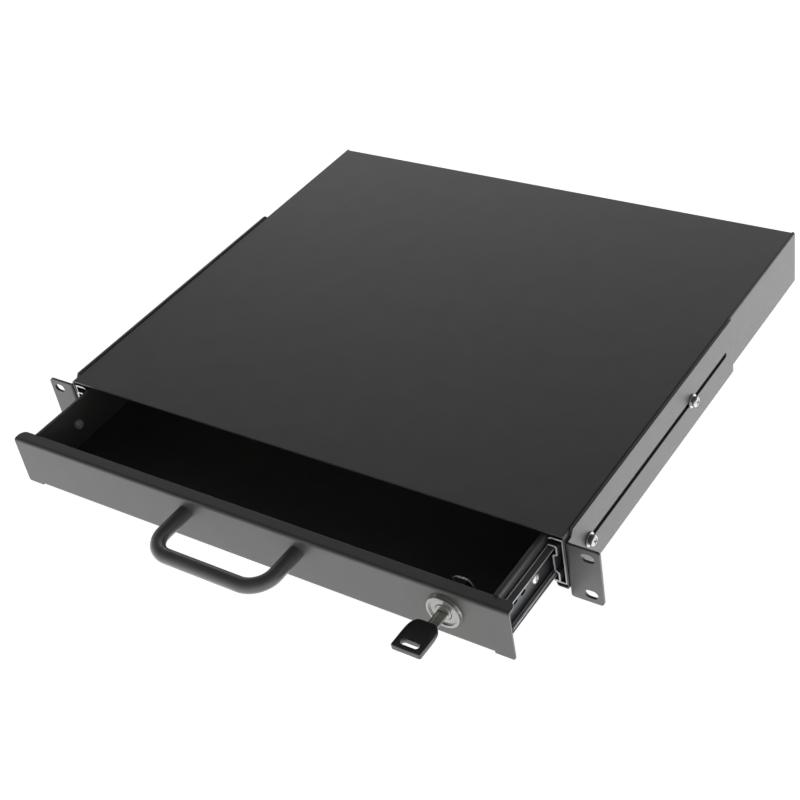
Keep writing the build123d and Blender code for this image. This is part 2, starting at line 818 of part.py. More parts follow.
# Lock body: tapered collar outside the panel, barrel with two flats behind it, bored for the plug
with BuildPart() as lock_body:
    with BuildSketch(section(panel_front_y)):
        with Locations((lock_x, lock_z)):
            Circle(bezel_base_radius)
    with BuildSketch(section(bezel_face_y)):
        with Locations((lock_x, lock_z)):
            Circle(bezel_face_radius)
    loft()
    chamfer(lock_body.edges().group_by(Axis.Y)[0], bezel_edge)
    with BuildSketch(section(bezel_face_y + bezel_recess_depth)):
        with Locations((lock_x, lock_z)):
            Circle(bezel_recess_radius)
    extrude(amount=bezel_recess_depth, mode=Mode.SUBTRACT)
    with BuildSketch(section(barrel_back_y)):
        with Locations((lock_x, lock_z)):
            Circle(barrel_radius)
            Rectangle(2 * barrel_radius, barrel_flats, mode=Mode.INTERSECT)
    extrude(amount=barrel_back_y - panel_front_y)
    with BuildSketch(section(barrel_back_y)):
        with Locations((lock_x, lock_z)):
            Circle(plug_radius + plug_running_clearance)
    extrude(amount=barrel_back_y - bezel_face_y, mode=Mode.SUBTRACT)
lock_body.part.label = "lock_body"
export_step(lock_body.part, "parts/lock_body.step")

# Nut that clamps the lock to the panel and the tray wall
with BuildPart() as lock_nut:
    with BuildSketch(section(lock_nut_seat + lock_nut_height)):
        with Locations((lock_x, lock_z)):
            RegularPolygon(lock_nut_across_flats / 2, 6, major_radius=False)
            Circle(barrel_radius, mode=Mode.SUBTRACT)
    extrude(amount=lock_nut_height)
lock_nut.part.label = "lock_nut"
export_step(lock_nut.part, "parts/lock_nut.step")

# Lock plug: a turned core with a flat keyway, and a square tail that carries the cam
plug_tail_back_y = cam_front_y + cam_thickness
with BuildPart() as lock_plug:
    with BuildSketch(section(cam_front_y)):
        with Locations((lock_x, lock_z)):
            Circle(plug_radius)
    extrude(amount=cam_front_y - plug_face_y)
    chamfer(lock_plug.edges().group_by(Axis.Y)[0], plug_edge)
    with BuildSketch(section(plug_tail_back_y)):
        with Locations((lock_x, lock_z)):
            Rectangle(plug_tail_width, plug_tail_width)
    extrude(amount=cam_thickness)
    with BuildSketch(section(plug_face_y + keyway_depth)):
        with Locations((lock_x, lock_z)):
            Rectangle(keyway_width, keyway_height)
    extrude(amount=keyway_depth, mode=Mode.SUBTRACT)
    with BuildSketch(section(plug_tail_back_y)):
        with Locations((lock_x, lock_z)):
            Circle(cam_screw_radius)
    extrude(amount=cam_screw_depth, mode=Mode.SUBTRACT)
lock_plug.part.label = "lock_plug"
export_step(lock_plug.part, "parts/lock_plug.step")

# Cam: a flat bar with a rounded end, hanging down while the lock is open
cam_half = cam_width / 2
with BuildPart() as lock_cam:
    with BuildSketch(section(plug_tail_back_y)):
        with Locations((lock_x, lock_z - (cam_reach - cam_half) / 2)):
            SlotOverall(cam_reach + cam_half, cam_width, rotation=90)
        with Locations((lock_x, lock_z)):
            Rectangle(plug_tail_width, plug_tail_width, mode=Mode.SUBTRACT)
    extrude(amount=cam_thickness)
lock_cam.part.label = "lock_cam"
export_step(lock_cam.part, "parts/lock_cam.step")

with BuildPart() as cam_screw:
    with BuildSketch(section(plug_tail_back_y)):
        with Locations((lock_x, lock_z)):
            Circle(cam_screw_radius)
    extrude(amount=cam_screw_depth - clamp_tip)
    with BuildSketch(section(plug_tail_back_y + cam_screw_head_height)):
        with Locations((lock_x, lock_z)):
            Circle(cam_screw_head_radius)
    extrude(amount=cam_screw_head_height)
    chamfer(cam_screw.edges().group_by(Axis.Y)[-1], small_head_chamfer)
cam_screw.part.label = "cam_screw"
export_step(cam_screw.part, "parts/cam_screw.step")

# Keeper: an angle under the case top whose lip stands just in front of the raised cam when shut
keeper_lip_back = cam_front_y + drawer_shut_travel - keeper_gap
keeper_lip_front = keeper_lip_back - keeper_sheet
with BuildPart() as lock_keeper:
    with BuildSketch(Plane.YZ.offset(lock_x)):
        with BuildLine():
            FilletPolyline(
                (keeper_lip_front + keeper_foot, case_ceiling),
                (keeper_lip_front, case_ceiling),
                (keeper_lip_front, keeper_lip_bottom),
                radius=keeper_bend_radius + keeper_sheet,
            )
            offset(amount=keeper_sheet, side=Side.LEFT)
        make_face()
    extrude(amount=keeper_width / 2, both=True)
lock_keeper.part.label = "lock_keeper"
export_step(lock_keeper.part, "parts/lock_keeper.step")

# Key blade: a flat bar in the plug with a pointed tip, its tang running into the bow
key_tip_y = plug_face_y + keyway_depth - key_tip_clearance
tang_y = bow_back_y - bow_pocket_depth
with BuildPart() as key_blade:
    with BuildSketch(Plane.XY.offset(lock_z - key_blade_thickness / 2)):
        with BuildLine():
            Polyline(
                (lock_x - key_blade_width / 2, tang_y),
                (lock_x + key_blade_width / 2, tang_y),
                (lock_x + key_blade_width / 2, key_tip_y - key_tip_point),
                (lock_x + key_blade_width / 4, key_tip_y),
                (lock_x - key_blade_width / 4, key_tip_y),
                (lock_x - key_blade_width / 2, key_tip_y - key_tip_point),
                close=True,
            )
        make_face()
    extrude(amount=key_blade_thickness)
key_blade.part.label = "key_blade"
export_step(key_blade.part, "parts/key_blade.step")

# Key bow: a moulded grip with sloping shoulders, a ring slot and an off-centre pocket for the tang
bow_x = lock_x - bow_offset
with BuildPart() as key_bow:
    with BuildSketch(Plane.XY.offset(lock_z - bow_thickness / 2)):
        with BuildLine():
            Polyline(
                (bow_x - bow_neck_width / 2, bow_back_y),
                (bow_x - bow_width / 2, bow_shoulder_y),
                (bow_x - bow_width / 2, bow_front_y),
                (bow_x + bow_width / 2, bow_front_y),
                (bow_x + bow_width / 2, bow_shoulder_y),
                (bow_x + bow_neck_width / 2, bow_back_y),
                close=True,
            )
        make_face()
        fillet(vertices().sort_by(Axis.Y)[:2], bow_corner_radius)
        with Locations((bow_x, bow_slot_y)):
            SlotOverall(bow_slot_length, bow_slot_width, mode=Mode.SUBTRACT)
    extrude(amount=bow_thickness)
    faces_top_bottom = key_bow.faces().filter_by(Axis.Z)
    outer_rims = [face.outer_wire().edges() for face in faces_top_bottom]
    fillet(ShapeList([edge for rim in outer_rims for edge in rim]), bow_edge_radius)
    with BuildSketch(Plane.XZ.offset(-bow_back_y)):
        with Locations((lock_x, lock_z)):
            Rectangle(key_blade_width, key_blade_thickness)
    extrude(amount=bow_pocket_depth, mode=Mode.SUBTRACT)
key_bow.part.label = "key_bow"
export_step(key_bow.part, "parts/key_bow.step")
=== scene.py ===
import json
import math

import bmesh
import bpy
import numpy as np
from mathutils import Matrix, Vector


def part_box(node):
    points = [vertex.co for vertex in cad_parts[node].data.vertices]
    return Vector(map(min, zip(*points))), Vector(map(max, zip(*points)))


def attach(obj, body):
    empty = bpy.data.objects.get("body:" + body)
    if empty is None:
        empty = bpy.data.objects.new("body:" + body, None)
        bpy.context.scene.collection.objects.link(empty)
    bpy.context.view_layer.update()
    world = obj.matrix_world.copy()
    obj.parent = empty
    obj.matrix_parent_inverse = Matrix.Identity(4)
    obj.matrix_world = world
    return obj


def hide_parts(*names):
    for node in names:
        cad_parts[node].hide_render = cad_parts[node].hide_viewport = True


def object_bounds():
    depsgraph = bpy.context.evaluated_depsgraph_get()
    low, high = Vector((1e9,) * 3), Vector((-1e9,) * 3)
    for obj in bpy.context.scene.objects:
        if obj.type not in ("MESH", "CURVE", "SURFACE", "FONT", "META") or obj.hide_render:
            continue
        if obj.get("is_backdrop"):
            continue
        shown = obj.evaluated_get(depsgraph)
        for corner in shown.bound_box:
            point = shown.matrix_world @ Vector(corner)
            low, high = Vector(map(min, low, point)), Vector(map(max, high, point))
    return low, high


bl_info = {
    "name": "Rack Keyboard Tray",
    "version": (1, 0, 0),
    "blender": (4, 5, 0),
    "location": "3D View > Sidebar > Keyboard Tray",
    "description": "Finishes a rack keyboard tray with its slides, lock, key and handle, and lights it",
    "category": "Object",
}

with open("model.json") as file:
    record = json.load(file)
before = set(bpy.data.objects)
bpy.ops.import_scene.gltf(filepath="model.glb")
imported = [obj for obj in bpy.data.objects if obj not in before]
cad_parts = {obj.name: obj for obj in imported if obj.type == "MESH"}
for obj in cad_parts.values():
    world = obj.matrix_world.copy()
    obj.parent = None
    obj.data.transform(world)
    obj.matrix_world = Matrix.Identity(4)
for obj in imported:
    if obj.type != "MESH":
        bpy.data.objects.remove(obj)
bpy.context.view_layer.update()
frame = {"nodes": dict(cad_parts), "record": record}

MM = 0.001
# Sizes of the fasteners that the frame's boxes don't give
M4_RADIUS = 2.0 * MM
M4_FLATS = 7.0 * MM
M4_NUT = 3.2 * MM
M4_THIN_NUT = 2.4 * MM
FLAT_WASHER = 1.0 * MM
M5_RADIUS = 2.5 * MM
M5_PITCH = 0.8 * MM
M5_HEAD = 3.0 * MM


def linear(hex_colour):
    """Turn an sRGB hex colour into the linear RGBA that shaders work in."""
    channels = [int(hex_colour[i:i + 2], 16) / 255 for i in (1, 3, 5)]
    return tuple(c / 12.92 if c <= 0.04045 else ((c + 0.055) / 1.055) ** 2.4 for c in channels) + (1.0,)


# Settings: the sizes and colours that a user would change


def colour_setting(name, description, hex_colour):
    """A colour whose default is sRGB hex."""
    return bpy.props.FloatVectorProperty(
        name=name, description=description, subtype="COLOR", size=4, min=0, max=1, default=linear(hex_colour))


def length_setting(name, description, millimetres):
    """A length whose default is in millimetres."""
    return bpy.props.FloatProperty(
        name=name, description=description, subtype="DISTANCE", unit="LENGTH", default=millimetres * MM)


def factor_setting(name, description, default, lowest, highest):
    """A plain factor between two limits."""
    return bpy.props.FloatProperty(
        name=name, description=description, subtype="FACTOR", min=lowest, max=highest, default=default)


class TrayFinishSettings(bpy.types.PropertyGroup):
    coat_colour: colour_setting("Powder coat", "Colour of the textured coat on the sheet steel", "#434342")
    handle_colour: colour_setting("Handle coat", "Colour of the smooth coat on the pull handle", "#505050")
    zinc_colour: colour_setting("Zinc plate", "Colour of the clamp screws, lock nut and cam", "#a6a7a8")
    slide_colour: colour_setting("Black zinc", "Colour of the black-passivated slides", "#3e3f41")
    nickel_colour: colour_setting("Nickel plate", "Colour of the plated lock", "#8e8e8b")
    bow_colour: colour_setting("Key grip", "Colour of the moulded key grip", "#262627")
    coat_grain: length_setting("Coat grain", "Spacing of the bumps in the powder coat", 1.1)


class TraySizeSettings(bpy.types.PropertyGroup):
    handle_bend: length_setting("Handle bend", "Radius of the handle's corners, at the rod's middle", 17.5)
    recess_reach: factor_setting(
        "Recess reach", "Reach of a cross recess as a share of the head's radius", 0.56, 0.3, 0.7)
    slide_sheet: length_setting("Slide sheet", "Thickness of the strip that the slides are rolled from", 1.2)
    raceway_width: length_setting("Raceway width", "Width of the raised back of a ball groove", 2.2)
    raceway_rise: length_setting("Raceway rise", "Height of the raised back of a ball groove", 0.9)
    thread_pitch: length_setting("Screw pitch", "Pitch of the M4 thread where a screw shows", 0.7)
    barrel_radius: length_setting("Lock barrel", "Radius of the lock's threaded barrel", 9.4)
    barrel_flats: length_setting("Barrel flats", "Width of the lock's barrel over its two flats", 16.0)
    plug_bore: length_setting("Plug bore", "Radius of the bore that the lock's plug turns in", 6.05)
    tail_width: length_setting("Plug tail", "Width of the square that carries the cam", 7.0)
    cam_screw_radius: length_setting("Cam screw", "Radius of the cam screw's shank", 1.75)
    ring_hole_length: length_setting("Ring slot length", "Length of the slot in the key's grip", 14.0)
    ring_hole_width: length_setting("Ring slot width", "Width of the slot in the key's grip", 4.6)
    ring_hole_inset: length_setting("Ring slot inset", "From the grip's free end to the slot's middle", 5.8)
    grip_neck: length_setting("Grip neck", "Width of the key's grip where the blade enters it", 16.0)
    grip_shoulder: length_setting("Grip shoulder", "Length of the grip's sloping shoulders", 5.6)
    barrel_pitch: length_setting("Lock pitch", "Pitch of the thread on the lock's barrel", 1.0)
    steps: bpy.props.IntProperty(
        name="Steps round", description="Points round a turned piece, a multiple of six",
        min=24, max=144, default=72)


class TrayStageSettings(bpy.types.PropertyGroup):
    side_level: factor_setting("Right", "Brightness of the floor on the right, where 1 is white", 1.1, 0, 10)
    front_level: factor_setting("Front", "Brightness of the floor in front, where 1 is white", 0.8, 0, 10)
    far_level: factor_setting("Far", "Brightness of the floor behind and left, where 1 is white", 0.9, 0, 10)
    ceiling_level: factor_setting("Ceiling", "Brightness overhead, where 1 is white", 0.05, 0, 1)
    window_level: factor_setting("Window", "Brightness of the light behind, where 1 is white", 0.95, 0, 10)


# Surfaces: grids of points worked out as whole arrays. Each shape is (points, wrap rows, wrap columns)


def grid_faces(rows, columns, wrap_rows, wrap_columns, start):
    """Join each point of a grid to its next row and column; a wrapped side joins the last to the first."""
    r = np.arange(rows if wrap_rows else rows - 1)
    c = np.arange(columns if wrap_columns else columns - 1)
    r, c = np.meshgrid(r, c, indexing="ij")
    next_r = (r + 1) % rows
    next_c = (c + 1) % columns
    corners = [r * columns + c, next_r * columns + c, next_r * columns + next_c, r * columns + next_c]
    return start + np.stack(corners, -1).reshape(-1, 4)


def surface_object(name, shapes, smooth_angle=35):
    """Make one object of several shapes, with its doubles merged and its faces outwards."""
    points, faces, start = [], [], 0
    for grid, wrap_rows, wrap_columns in shapes:
        rows, columns = grid.shape[:2]
        points.append(grid.reshape(-1, 3))
        faces.append(grid_faces(rows, columns, wrap_rows, wrap_columns, start))
        start += rows * columns
    mesh = bpy.data.meshes.new(name)
    mesh.from_pydata(np.concatenate(points).tolist(), [], np.concatenate(faces).tolist())
    work = bmesh.new()
    work.from_mesh(mesh)
    bmesh.ops.remove_doubles(work, verts=work.verts, dist=2e-7)
    bmesh.ops.dissolve_degenerate(work, edges=work.edges, dist=1e-8)
    bmesh.ops.recalc_face_normals(work, faces=work.faces)
    work.to_mesh(mesh)
    work.free()
    mesh.shade_smooth()
    mesh.set_sharp_from_angle(angle=math.radians(smooth_angle))
    piece = bpy.data.objects.new(name, mesh)
    bpy.context.scene.collection.objects.link(piece)
    return piece


def add_piece(name, shapes, body, slot, *nodes, smooth_angle=35, finish=None):
    """Make a piece and give it its body, and hide the CAD nodes that it stands for. Its material is the
    slot's, or another finish where one is named."""
    piece = surface_object(name, shapes, smooth_angle)
    piece.data.materials.append(materials[finish or slot])
    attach(piece, body)
    if nodes:
        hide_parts(*nodes)


def circle(steps):
    """Angles once round in equal steps."""
    return np.linspace(0, 2 * math.pi, steps, endpoint=False)


def axes_for(axis):
    """Two directions square to an axis, in the order that turns by the right hand."""
    axis = np.array(axis, float)
    first = np.array([0.0, 0.0, 1.0]) if abs(axis[2]) < 0.9 else np.array([1.0, 0.0, 0.0])
    second = np.cross(axis, first)
    return axis, first, second


def turned(centre, axis, along, radius, steps):
    """Carry a profile round an axis: point = centre + axis * along + radius * (cos a, sin a).
    Along and radius are each one number a row, or rows by steps where they change round the axis."""
    axis, first, second = axes_for(axis)
    angle = circle(steps)
    rows = len(along)
    radius = np.broadcast_to(np.reshape(radius, (rows, -1)), (rows, steps))
    along = np.broadcast_to(np.reshape(along, (rows, -1)), (rows, steps))
    round_ = np.cos(angle)[:, None] * first + np.sin(angle)[:, None] * second
    return np.array(centre) + along[..., None] * axis + radius[..., None] * round_


def capped(grid):
    """A tube of rings of points, closed at each end at the middle of its last ring."""
    ends = [np.broadcast_to(ring.mean(0), (1,) + grid.shape[1:]) for ring in (grid[0], grid[-1])]
    return np.concatenate([ends[0], grid, ends[1]]), False, True


def thread_ridge(along, steps, pitch, depth):
    """A thread's height over its root: a triangle wave of the distance less the turn times the pitch."""
    turn = np.asarray(along)[:, None] / pitch - circle(steps)[None, :] / (2 * math.pi)
    return depth * (1 - np.abs(2 * (turn % 1) - 1))


def pan_head_screw(seat, axis, head, height, shank, length, pitch, reach, steps):
    """A pan-head screw with a cross recess. Above its rim the head's height falls with the radius as a
    superellipse, and the recess is two crossed slots that get shallower towards their ends. The shank is a
    thread on a core. Its sizes are the head's radius and height, the shank's radius and length, the thread's
    pitch, and the recess's reach as a share of the head's radius."""
    # Shares of the head's height: the rim, and the slots' depth
    rim, depth = 0.32, 0.62
    # Shares of the head's radius: half a slot's width, and the slant of its walls
    slot, slant = 0.17, 0.05
    span = np.concatenate([np.linspace(0, 0.7, 34), np.linspace(0.72, 0.995, 12), [1.0]]) * head
    dome = height * (rim + (1 - rim) * (1 - (span / head) ** 3.2) ** (1 / 2.2))
    angle = circle(steps) + math.pi / 5
    side = np.abs(span[:, None] * np.cos(angle)) / head
    other = np.abs(span[:, None] * np.sin(angle)) / head
    wall = np.clip((slot - np.minimum(side, other)) / slant, 0, 1)
    slope = np.clip((reach - np.maximum(side, other)) / (0.5 * reach), 0, 1) ** 0.7
    top = turned(seat, axis, dome[:, None] - depth * height * wall * slope, span, steps)
    under = turned(seat, axis, np.zeros(2), np.array([head, 0.6 * head]), steps)
    # Six rows to each turn of the thread
    down = np.linspace(0, -length, max(8, int(length / pitch * 6)))
    ridge = 0.14 * pitch
    core = shank - ridge + thread_ridge(down, steps, pitch, ridge)
    # The end is pointed a little
    core[-2:] *= 0.86
    thread = turned(seat, axis, down, core, steps)
    tip = np.repeat(thread[-1].mean(0)[None, :], steps, 0)
    return np.concatenate([top, under, thread, tip[None]]), False, True


def hex_nut(seat, axis, across_flats, height, bore, steps):
    """A hexagon nut. Its side is half its width over the cosine from the nearest flat, cut by a cone at both
    faces, so its corners are rounded off in an arc."""
    level = np.array([0.0, 0.0, 0.06, 0.14, 0.5, 0.86, 0.94, 1.0, 1.0]) * height
    # The cone is 0.97 of the width over flats at each face, and its side widens by 1.7 for each unit inward
    cone = across_flats / 2 * 0.97 + np.minimum(level, height - level)[:, None] * 1.7
    off_flat = (circle(steps) + math.pi / 6) % (math.pi / 3) - math.pi / 6
    radius = np.minimum(across_flats / 2 / np.cos(off_flat), cone)
    radius[0] = bore
    radius[-1] = bore
    return turned(seat, axis, level, radius, steps), True, True


def flat_ring(seat, axis, outer, inner, thickness, steps):
    """A washer: a rectangle with rounded outer corners carried round the axis."""
    edge = 0.12 * MM
    turn = np.linspace(0, math.pi / 2, 5)
    rise = edge * np.sin(turn)
    run = edge * (1 - np.cos(turn))
    along = np.concatenate([edge - rise[::-1], thickness - edge + rise, [thickness, 0.0]])
    radius = np.concatenate([outer - run[::-1], outer - run, [inner, inner]])
    return turned(seat, axis, along, radius, steps), True, True


def split_ring(seat, axis, outer, inner, thickness, steps):
    """A spring washer: a square section carried nearly once round as it climbs a little, with closed ends."""
    axis, first, second = axes_for(axis)
    rise = 0.14 * MM
    # Half the gap's angle, in radians
    gap = 0.1
    turn = np.linspace(gap, 2 * math.pi - gap, steps) + math.pi / 3
    climb = rise * np.linspace(0, 1, steps)
    # The section's corners as shares of its width and its height
    corner = np.array([[0.06, 0], [0.94, 0], [1, 0.06], [1, 0.94],
                       [0.94, 1], [0.06, 1], [0, 0.94], [0, 0.06]])
    out = inner + (outer - inner) * corner[:, 0]
    up = (thickness - rise) * corner[:, 1] + climb[:, None]
    round_ = np.cos(turn)[:, None] * first + np.sin(turn)[:, None] * second
    return capped(np.array(seat) + out[None, :, None] * round_[:, None, :] + up[..., None] * axis)


def ball(centre, radius, rows=14, columns=24):
    """A sphere: a half circle of heights and radii carried round."""
    tilt = np.linspace(0, math.pi, rows)
    return turned(centre, (0, 0, 1), radius * np.cos(tilt), radius * np.sin(tilt), columns), False, True


def raceway(middle, level, face, front, back, width, rise):
    """The back of a rolled ball groove: a low arch across, carried along the strip and sunk to nothing at its
    ends. Height = rise * (1 - across^2)^0.8, less a skin's depth so that it starts inside the sheet."""
    # How deep its edges lie in the sheet, how far its ends stay back, and over what length they rise
    skin, inset, run = 0.1 * MM, 2 * MM, 6 * MM
    across = np.linspace(-1, 1, 15)
    arch = rise * (1 - across ** 2) ** 0.8
    way = np.linspace(0, run, 8)
    grow = np.sin(way / run * math.pi / 2)
    grow = np.concatenate([grow, grow[::-1]])
    top = level + face * (grow[:, None] * arch - skin)
    x = np.broadcast_to(middle + across * width / 2, top.shape)
    y = np.concatenate([front + inset + way, back - inset - way[::-1]])
    y = np.broadcast_to(y[:, None], top.shape)
    upper = np.stack([x, y, top], -1)
    under = np.stack([x, y, np.full(top.shape, level - 2 * face * skin)], -1)[:, ::-1]
    return capped(np.concatenate([upper, under], 1))


def lock_barrel(middle, front, rear, sizes, steps):
    """The lock's body: one closed profile carried round. Behind the panel it is a thread on a core, cut flat
    above and below (radius = the least of the thread's and half the width over flats by the cosine). In front
    of it are a tapered collar with a rounded rim, a dished face and the plug's bore."""
    barrel, bore = sizes.barrel_radius, sizes.plug_bore
    # Radii of the collar at the panel, of its rim and of its dish, and the dish's depth
    collar, rim, dish, depth = 13.4 * MM, 12.5 * MM, 10.4 * MM, 1.2 * MM
    # The thread's depth, and the rounding of the rim and of the dish's lip
    ridge, edge, lip = 0.6 * MM, 0.6 * MM, 0.25 * MM
    floor = front + depth
    turn = np.linspace(0, math.pi / 2, 7)
    thread = np.linspace(rear - 0.7 * MM, 0.2 * MM, 150)
    # Each row is (distance behind the panel, radius)
    rows = np.concatenate([
        [(rear, bore + 0.3 * MM), (rear, barrel - 0.9 * MM)],
        np.stack([thread, np.full(len(thread), barrel)], -1),
        [(0.0, barrel), (0.0, collar - 0.3 * MM), (-0.1 * MM, collar - 0.08 * MM), (-0.3 * MM, collar)],
        np.stack([front + edge * (1 - np.sin(turn)), rim - edge * (1 - np.cos(turn))], -1),
        np.stack([front + lip * (1 - np.cos(turn)), dish + lip * (1 - np.sin(turn))], -1),
        [(floor - 0.2 * MM, dish), (floor, dish - 0.2 * MM), (floor, bore + 0.35 * MM)],
        [(floor + 0.35 * MM, bore), (rear - 0.3 * MM, bore)]])
    along = rows[:, 0]
    radius = np.repeat(rows[:, 1:], steps, 1)
    radius[2:2 + len(thread)] += thread_ridge(thread, steps, sizes.barrel_pitch, ridge) - ridge
    across = sizes.barrel_flats / 2 / np.maximum(np.abs(np.cos(circle(steps))), 1e-6)
    behind = slice(1, 3 + len(thread))
    radius[behind] = np.minimum(radius[behind], across)
    return turned(middle, (0, 1, 0), along, radius, steps), True, True


def cam_plate(seat, thickness, half, reach, hole, steps):
    """A pressed cam. Its outline is a straight-sided bar with a round end below and a half circle above, as a
    radius about the plug's axis; its hole is a square, half its side over the larger of sine and cosine."""
    angle = circle(steps)
    up = np.cos(angle)
    across = np.maximum(np.abs(np.sin(angle)), 1e-6)
    drop = reach - half
    end = -drop * up + np.sqrt(np.maximum(half ** 2 - (drop * across) ** 2, 0))
    outline = np.where(up > 0, half, np.where(half / across * up > -drop, half / across, end))
    square = hole / 2 / np.maximum(np.abs(up), across)
    # The pressed edge: how far in from the outline it is, and how far from the nearer face
    inset = np.array([0.3, 0.1, 0.0]) * MM
    level = np.array([0.0, 0.1, 0.3]) * MM
    edge = np.concatenate([inset, inset[::-1]])[:, None]
    along = np.concatenate([[0.0], level, thickness - level[::-1], [thickness]])
    radius = np.concatenate([square[None], outline - edge, square[None]])
    return turned(seat, (0, 1, 0), along, radius, steps), True, True


def key_blank(box):
    """A flat blank with a milled groove in both faces and cuts in one edge. Across it, a point's place is the
    lesser of its own and the edge, which dips in cuts of about 45 degrees; its height is half the thickness
    less the groove's depth."""
    low, high = box
    middle, level = (low.x + high.x) / 2, (low.z + high.z) / 2
    half, thick = (high.x - low.x) / 2, (high.z - low.z) / 2
    # Distances behind the tip, and how deep the edge is cut there
    cuts = np.array([(0.0, 3.0), (0.4, 2.6), (2.4, 0.6), (2.9, 0.6), (4.0, 1.7), (4.9, 1.7), (6.0, 0.8),
                     (6.7, 0.8), (7.9, 2.0), (8.8, 2.0), (10.2, 0.6), (10.9, 0.6), (11.7, 1.4), (12.6, 1.4),
                     (13.4, 0.6), (14.3, 0.6), (15.8, 2.1), (16.7, 2.1), (18.8, 0.0), (60.0, 0.0)]) * MM
    nose = np.array([(0.0, 3.0), (0.4, 2.6), (2.6, 0.2), (3.2, 0.0), (60.0, 0.0)]) * MM
    even = np.linspace(0, 22, 89) * MM
    back = np.unique(np.concatenate([cuts[:-1, 0], nose[:-1, 0], even, [high.y - low.y]]))
    right = half - np.interp(back, cuts[:, 0], cuts[:, 1])
    left = -half + np.interp(back, nose[:, 0], nose[:, 1])
    # Across the blank: a small bevel at each edge, a groove left of the middle, and a shoulder right of it
    place = np.array([-4.0, -3.8, -2.2, -1.9, -0.8, -0.5, 0.9, 1.2, 3.8, 4.0]) / 4 * half
    groove = np.array([0.25, 0.0, 0.0, 0.35, 0.35, 0.0, 0.0, 0.15, 0.15, 0.4]) * MM
    across = np.clip(place[None, :], left[:, None], right[:, None])
    rise = np.broadcast_to(thick - groove, across.shape)
    y = np.broadcast_to(high.y - back[:, None], across.shape)
    top = np.stack([middle + across, y, level + rise], -1)
    under = np.stack([middle + across, y, level - rise], -1)[:, ::-1]
    return capped(np.concatenate([top, under], 1))


def key_grip(box, sizes, steps=288):
    """A moulded grip with a ring slot. The outline is the sides' distances along each direction, joined by a
    high power mean so that its corners are round; the slot is a stadium. Between them run two faces with
    rounded edges and a shallow dish."""
    low, high = box
    half, thick = (high.x - low.x) / 2, (high.z - low.z) / 2
    hole = sizes.ring_hole_width / 2
    run = sizes.ring_hole_length / 2 - hole
    centre = np.array([(low.x + high.x) / 2, low.y + sizes.ring_hole_inset, (low.z + high.z) / 2])
    angle = circle(steps)
    x, y = np.cos(angle), np.sin(angle)
    rear = high.y - centre[1]
    shoulder = rear - sizes.grip_shoulder
    slope = np.array([rear - shoulder, half - sizes.grip_neck / 2])
    slope = slope / np.linalg.norm(slope)
    reach = slope @ np.array([half, shoulder])
    # Each side's direction and its distance from the slot's middle
    sides = np.array([(1, 0, half), (-1, 0, half), (0, 1, rear), (0, -1, centre[1] - low.y),
                      (slope[0], slope[1], reach), (-slope[0], slope[1], reach)])
    lean = np.maximum((sides[:, :1] * x + sides[:, 1:2] * y) / sides[:, 2:], 0)
    power = 13
    outline = (lean ** power).sum(0) ** (-1 / power)
    thin = np.maximum(np.abs(y), 1e-6)
    cap = run * np.abs(x) + np.sqrt(np.maximum(hole ** 2 - (run * y) ** 2, 0))
    slot = np.where(hole / thin * np.abs(x) < run, hole / thin, cap)
    # From the slot's edge to the rim: share of the way, distance in from the rim, and height as a share of
    # half the thickness
    turn = np.linspace(0, math.pi / 2, 7)
    share = np.concatenate([[0.0, 0.0, 0.03, 0.1, 0.3, 0.5, 0.7, 0.86], np.ones(9)])
    inset = np.concatenate([np.zeros(8), [1.6 * MM, 1.0 * MM], 0.8 * MM * (1 - np.sin(turn))])
    height = [0.0, 0.86, 0.93, 0.93, 0.9, 0.89, 0.9, 0.95, 1.0, 1.0]
    height = np.concatenate([height, 1 - 0.36 * (1 - np.cos(turn))])
    radius = slot + (outline - slot) * share[:, None] - inset[:, None]
    plan = centre[:2] + radius[..., None] * np.stack([x, y], -1)
    rise = np.broadcast_to((height * thick)[:, None, None], radius.shape + (1,))
    top = np.concatenate([plan, centre[2] + rise], -1)
    under = np.concatenate([plan, centre[2] - rise], -1)[::-1]
    return np.concatenate([top, under]), True, True


# Materials: each starts from what the real finish is

materials = {}
# The span that most of a noise's values fill
noise_span = {"From Min": 0.3, "From Max": 0.7}


def add_node(owner, kind, values=None, links=None, **settings):
    """Add one shader node with its settings, its input values and its incoming links."""
    node = owner.node_tree.nodes.new(kind)
    for key, value in settings.items():
        setattr(node, key, value)
    for socket, value in (values or {}).items():
        node.inputs[socket].default_value = value
    for socket, source in (links or {}).items():
        owner.node_tree.links.new(source, node.inputs[socket])
    return node


def new_material(name):
    """An empty material, and the object's own coordinates in it."""
    material = bpy.data.materials.new(name)
    material.use_nodes = True
    material.node_tree.nodes.clear()
    return material, add_node(material, "ShaderNodeTexCoord").outputs["Object"]


def grain_of(material, place, size, stretch=(1, 1, 1), detail=2.0):
    """A noise whose features are about the given size in metres, drawn out by the stretch along each axis."""
    mapping = add_node(material, "ShaderNodeMapping", values={"Scale": tuple(1 / size / s for s in stretch)},
                       links={"Vector": place})
    values = {"Scale": 1.0, "Detail": detail, "Roughness": 0.55}
    return add_node(material, "ShaderNodeTexNoise", values=values,
                    links={"Vector": mapping.outputs["Vector"]}).outputs["Fac"]


def tinted(material, colour, pattern, low, high):
    """A colour made a little darker and lighter by a pattern."""
    level = add_node(material, "ShaderNodeMapRange", values={**noise_span, "To Min": low, "To Max": high},
                     links={"Value": pattern}).outputs["Result"]
    return add_node(material, "ShaderNodeMix", data_type="RGBA", blend_type="MULTIPLY",
                    values={"Factor": 1.0, "A": tuple(colour)}, links={"B": level}).outputs["Result"]


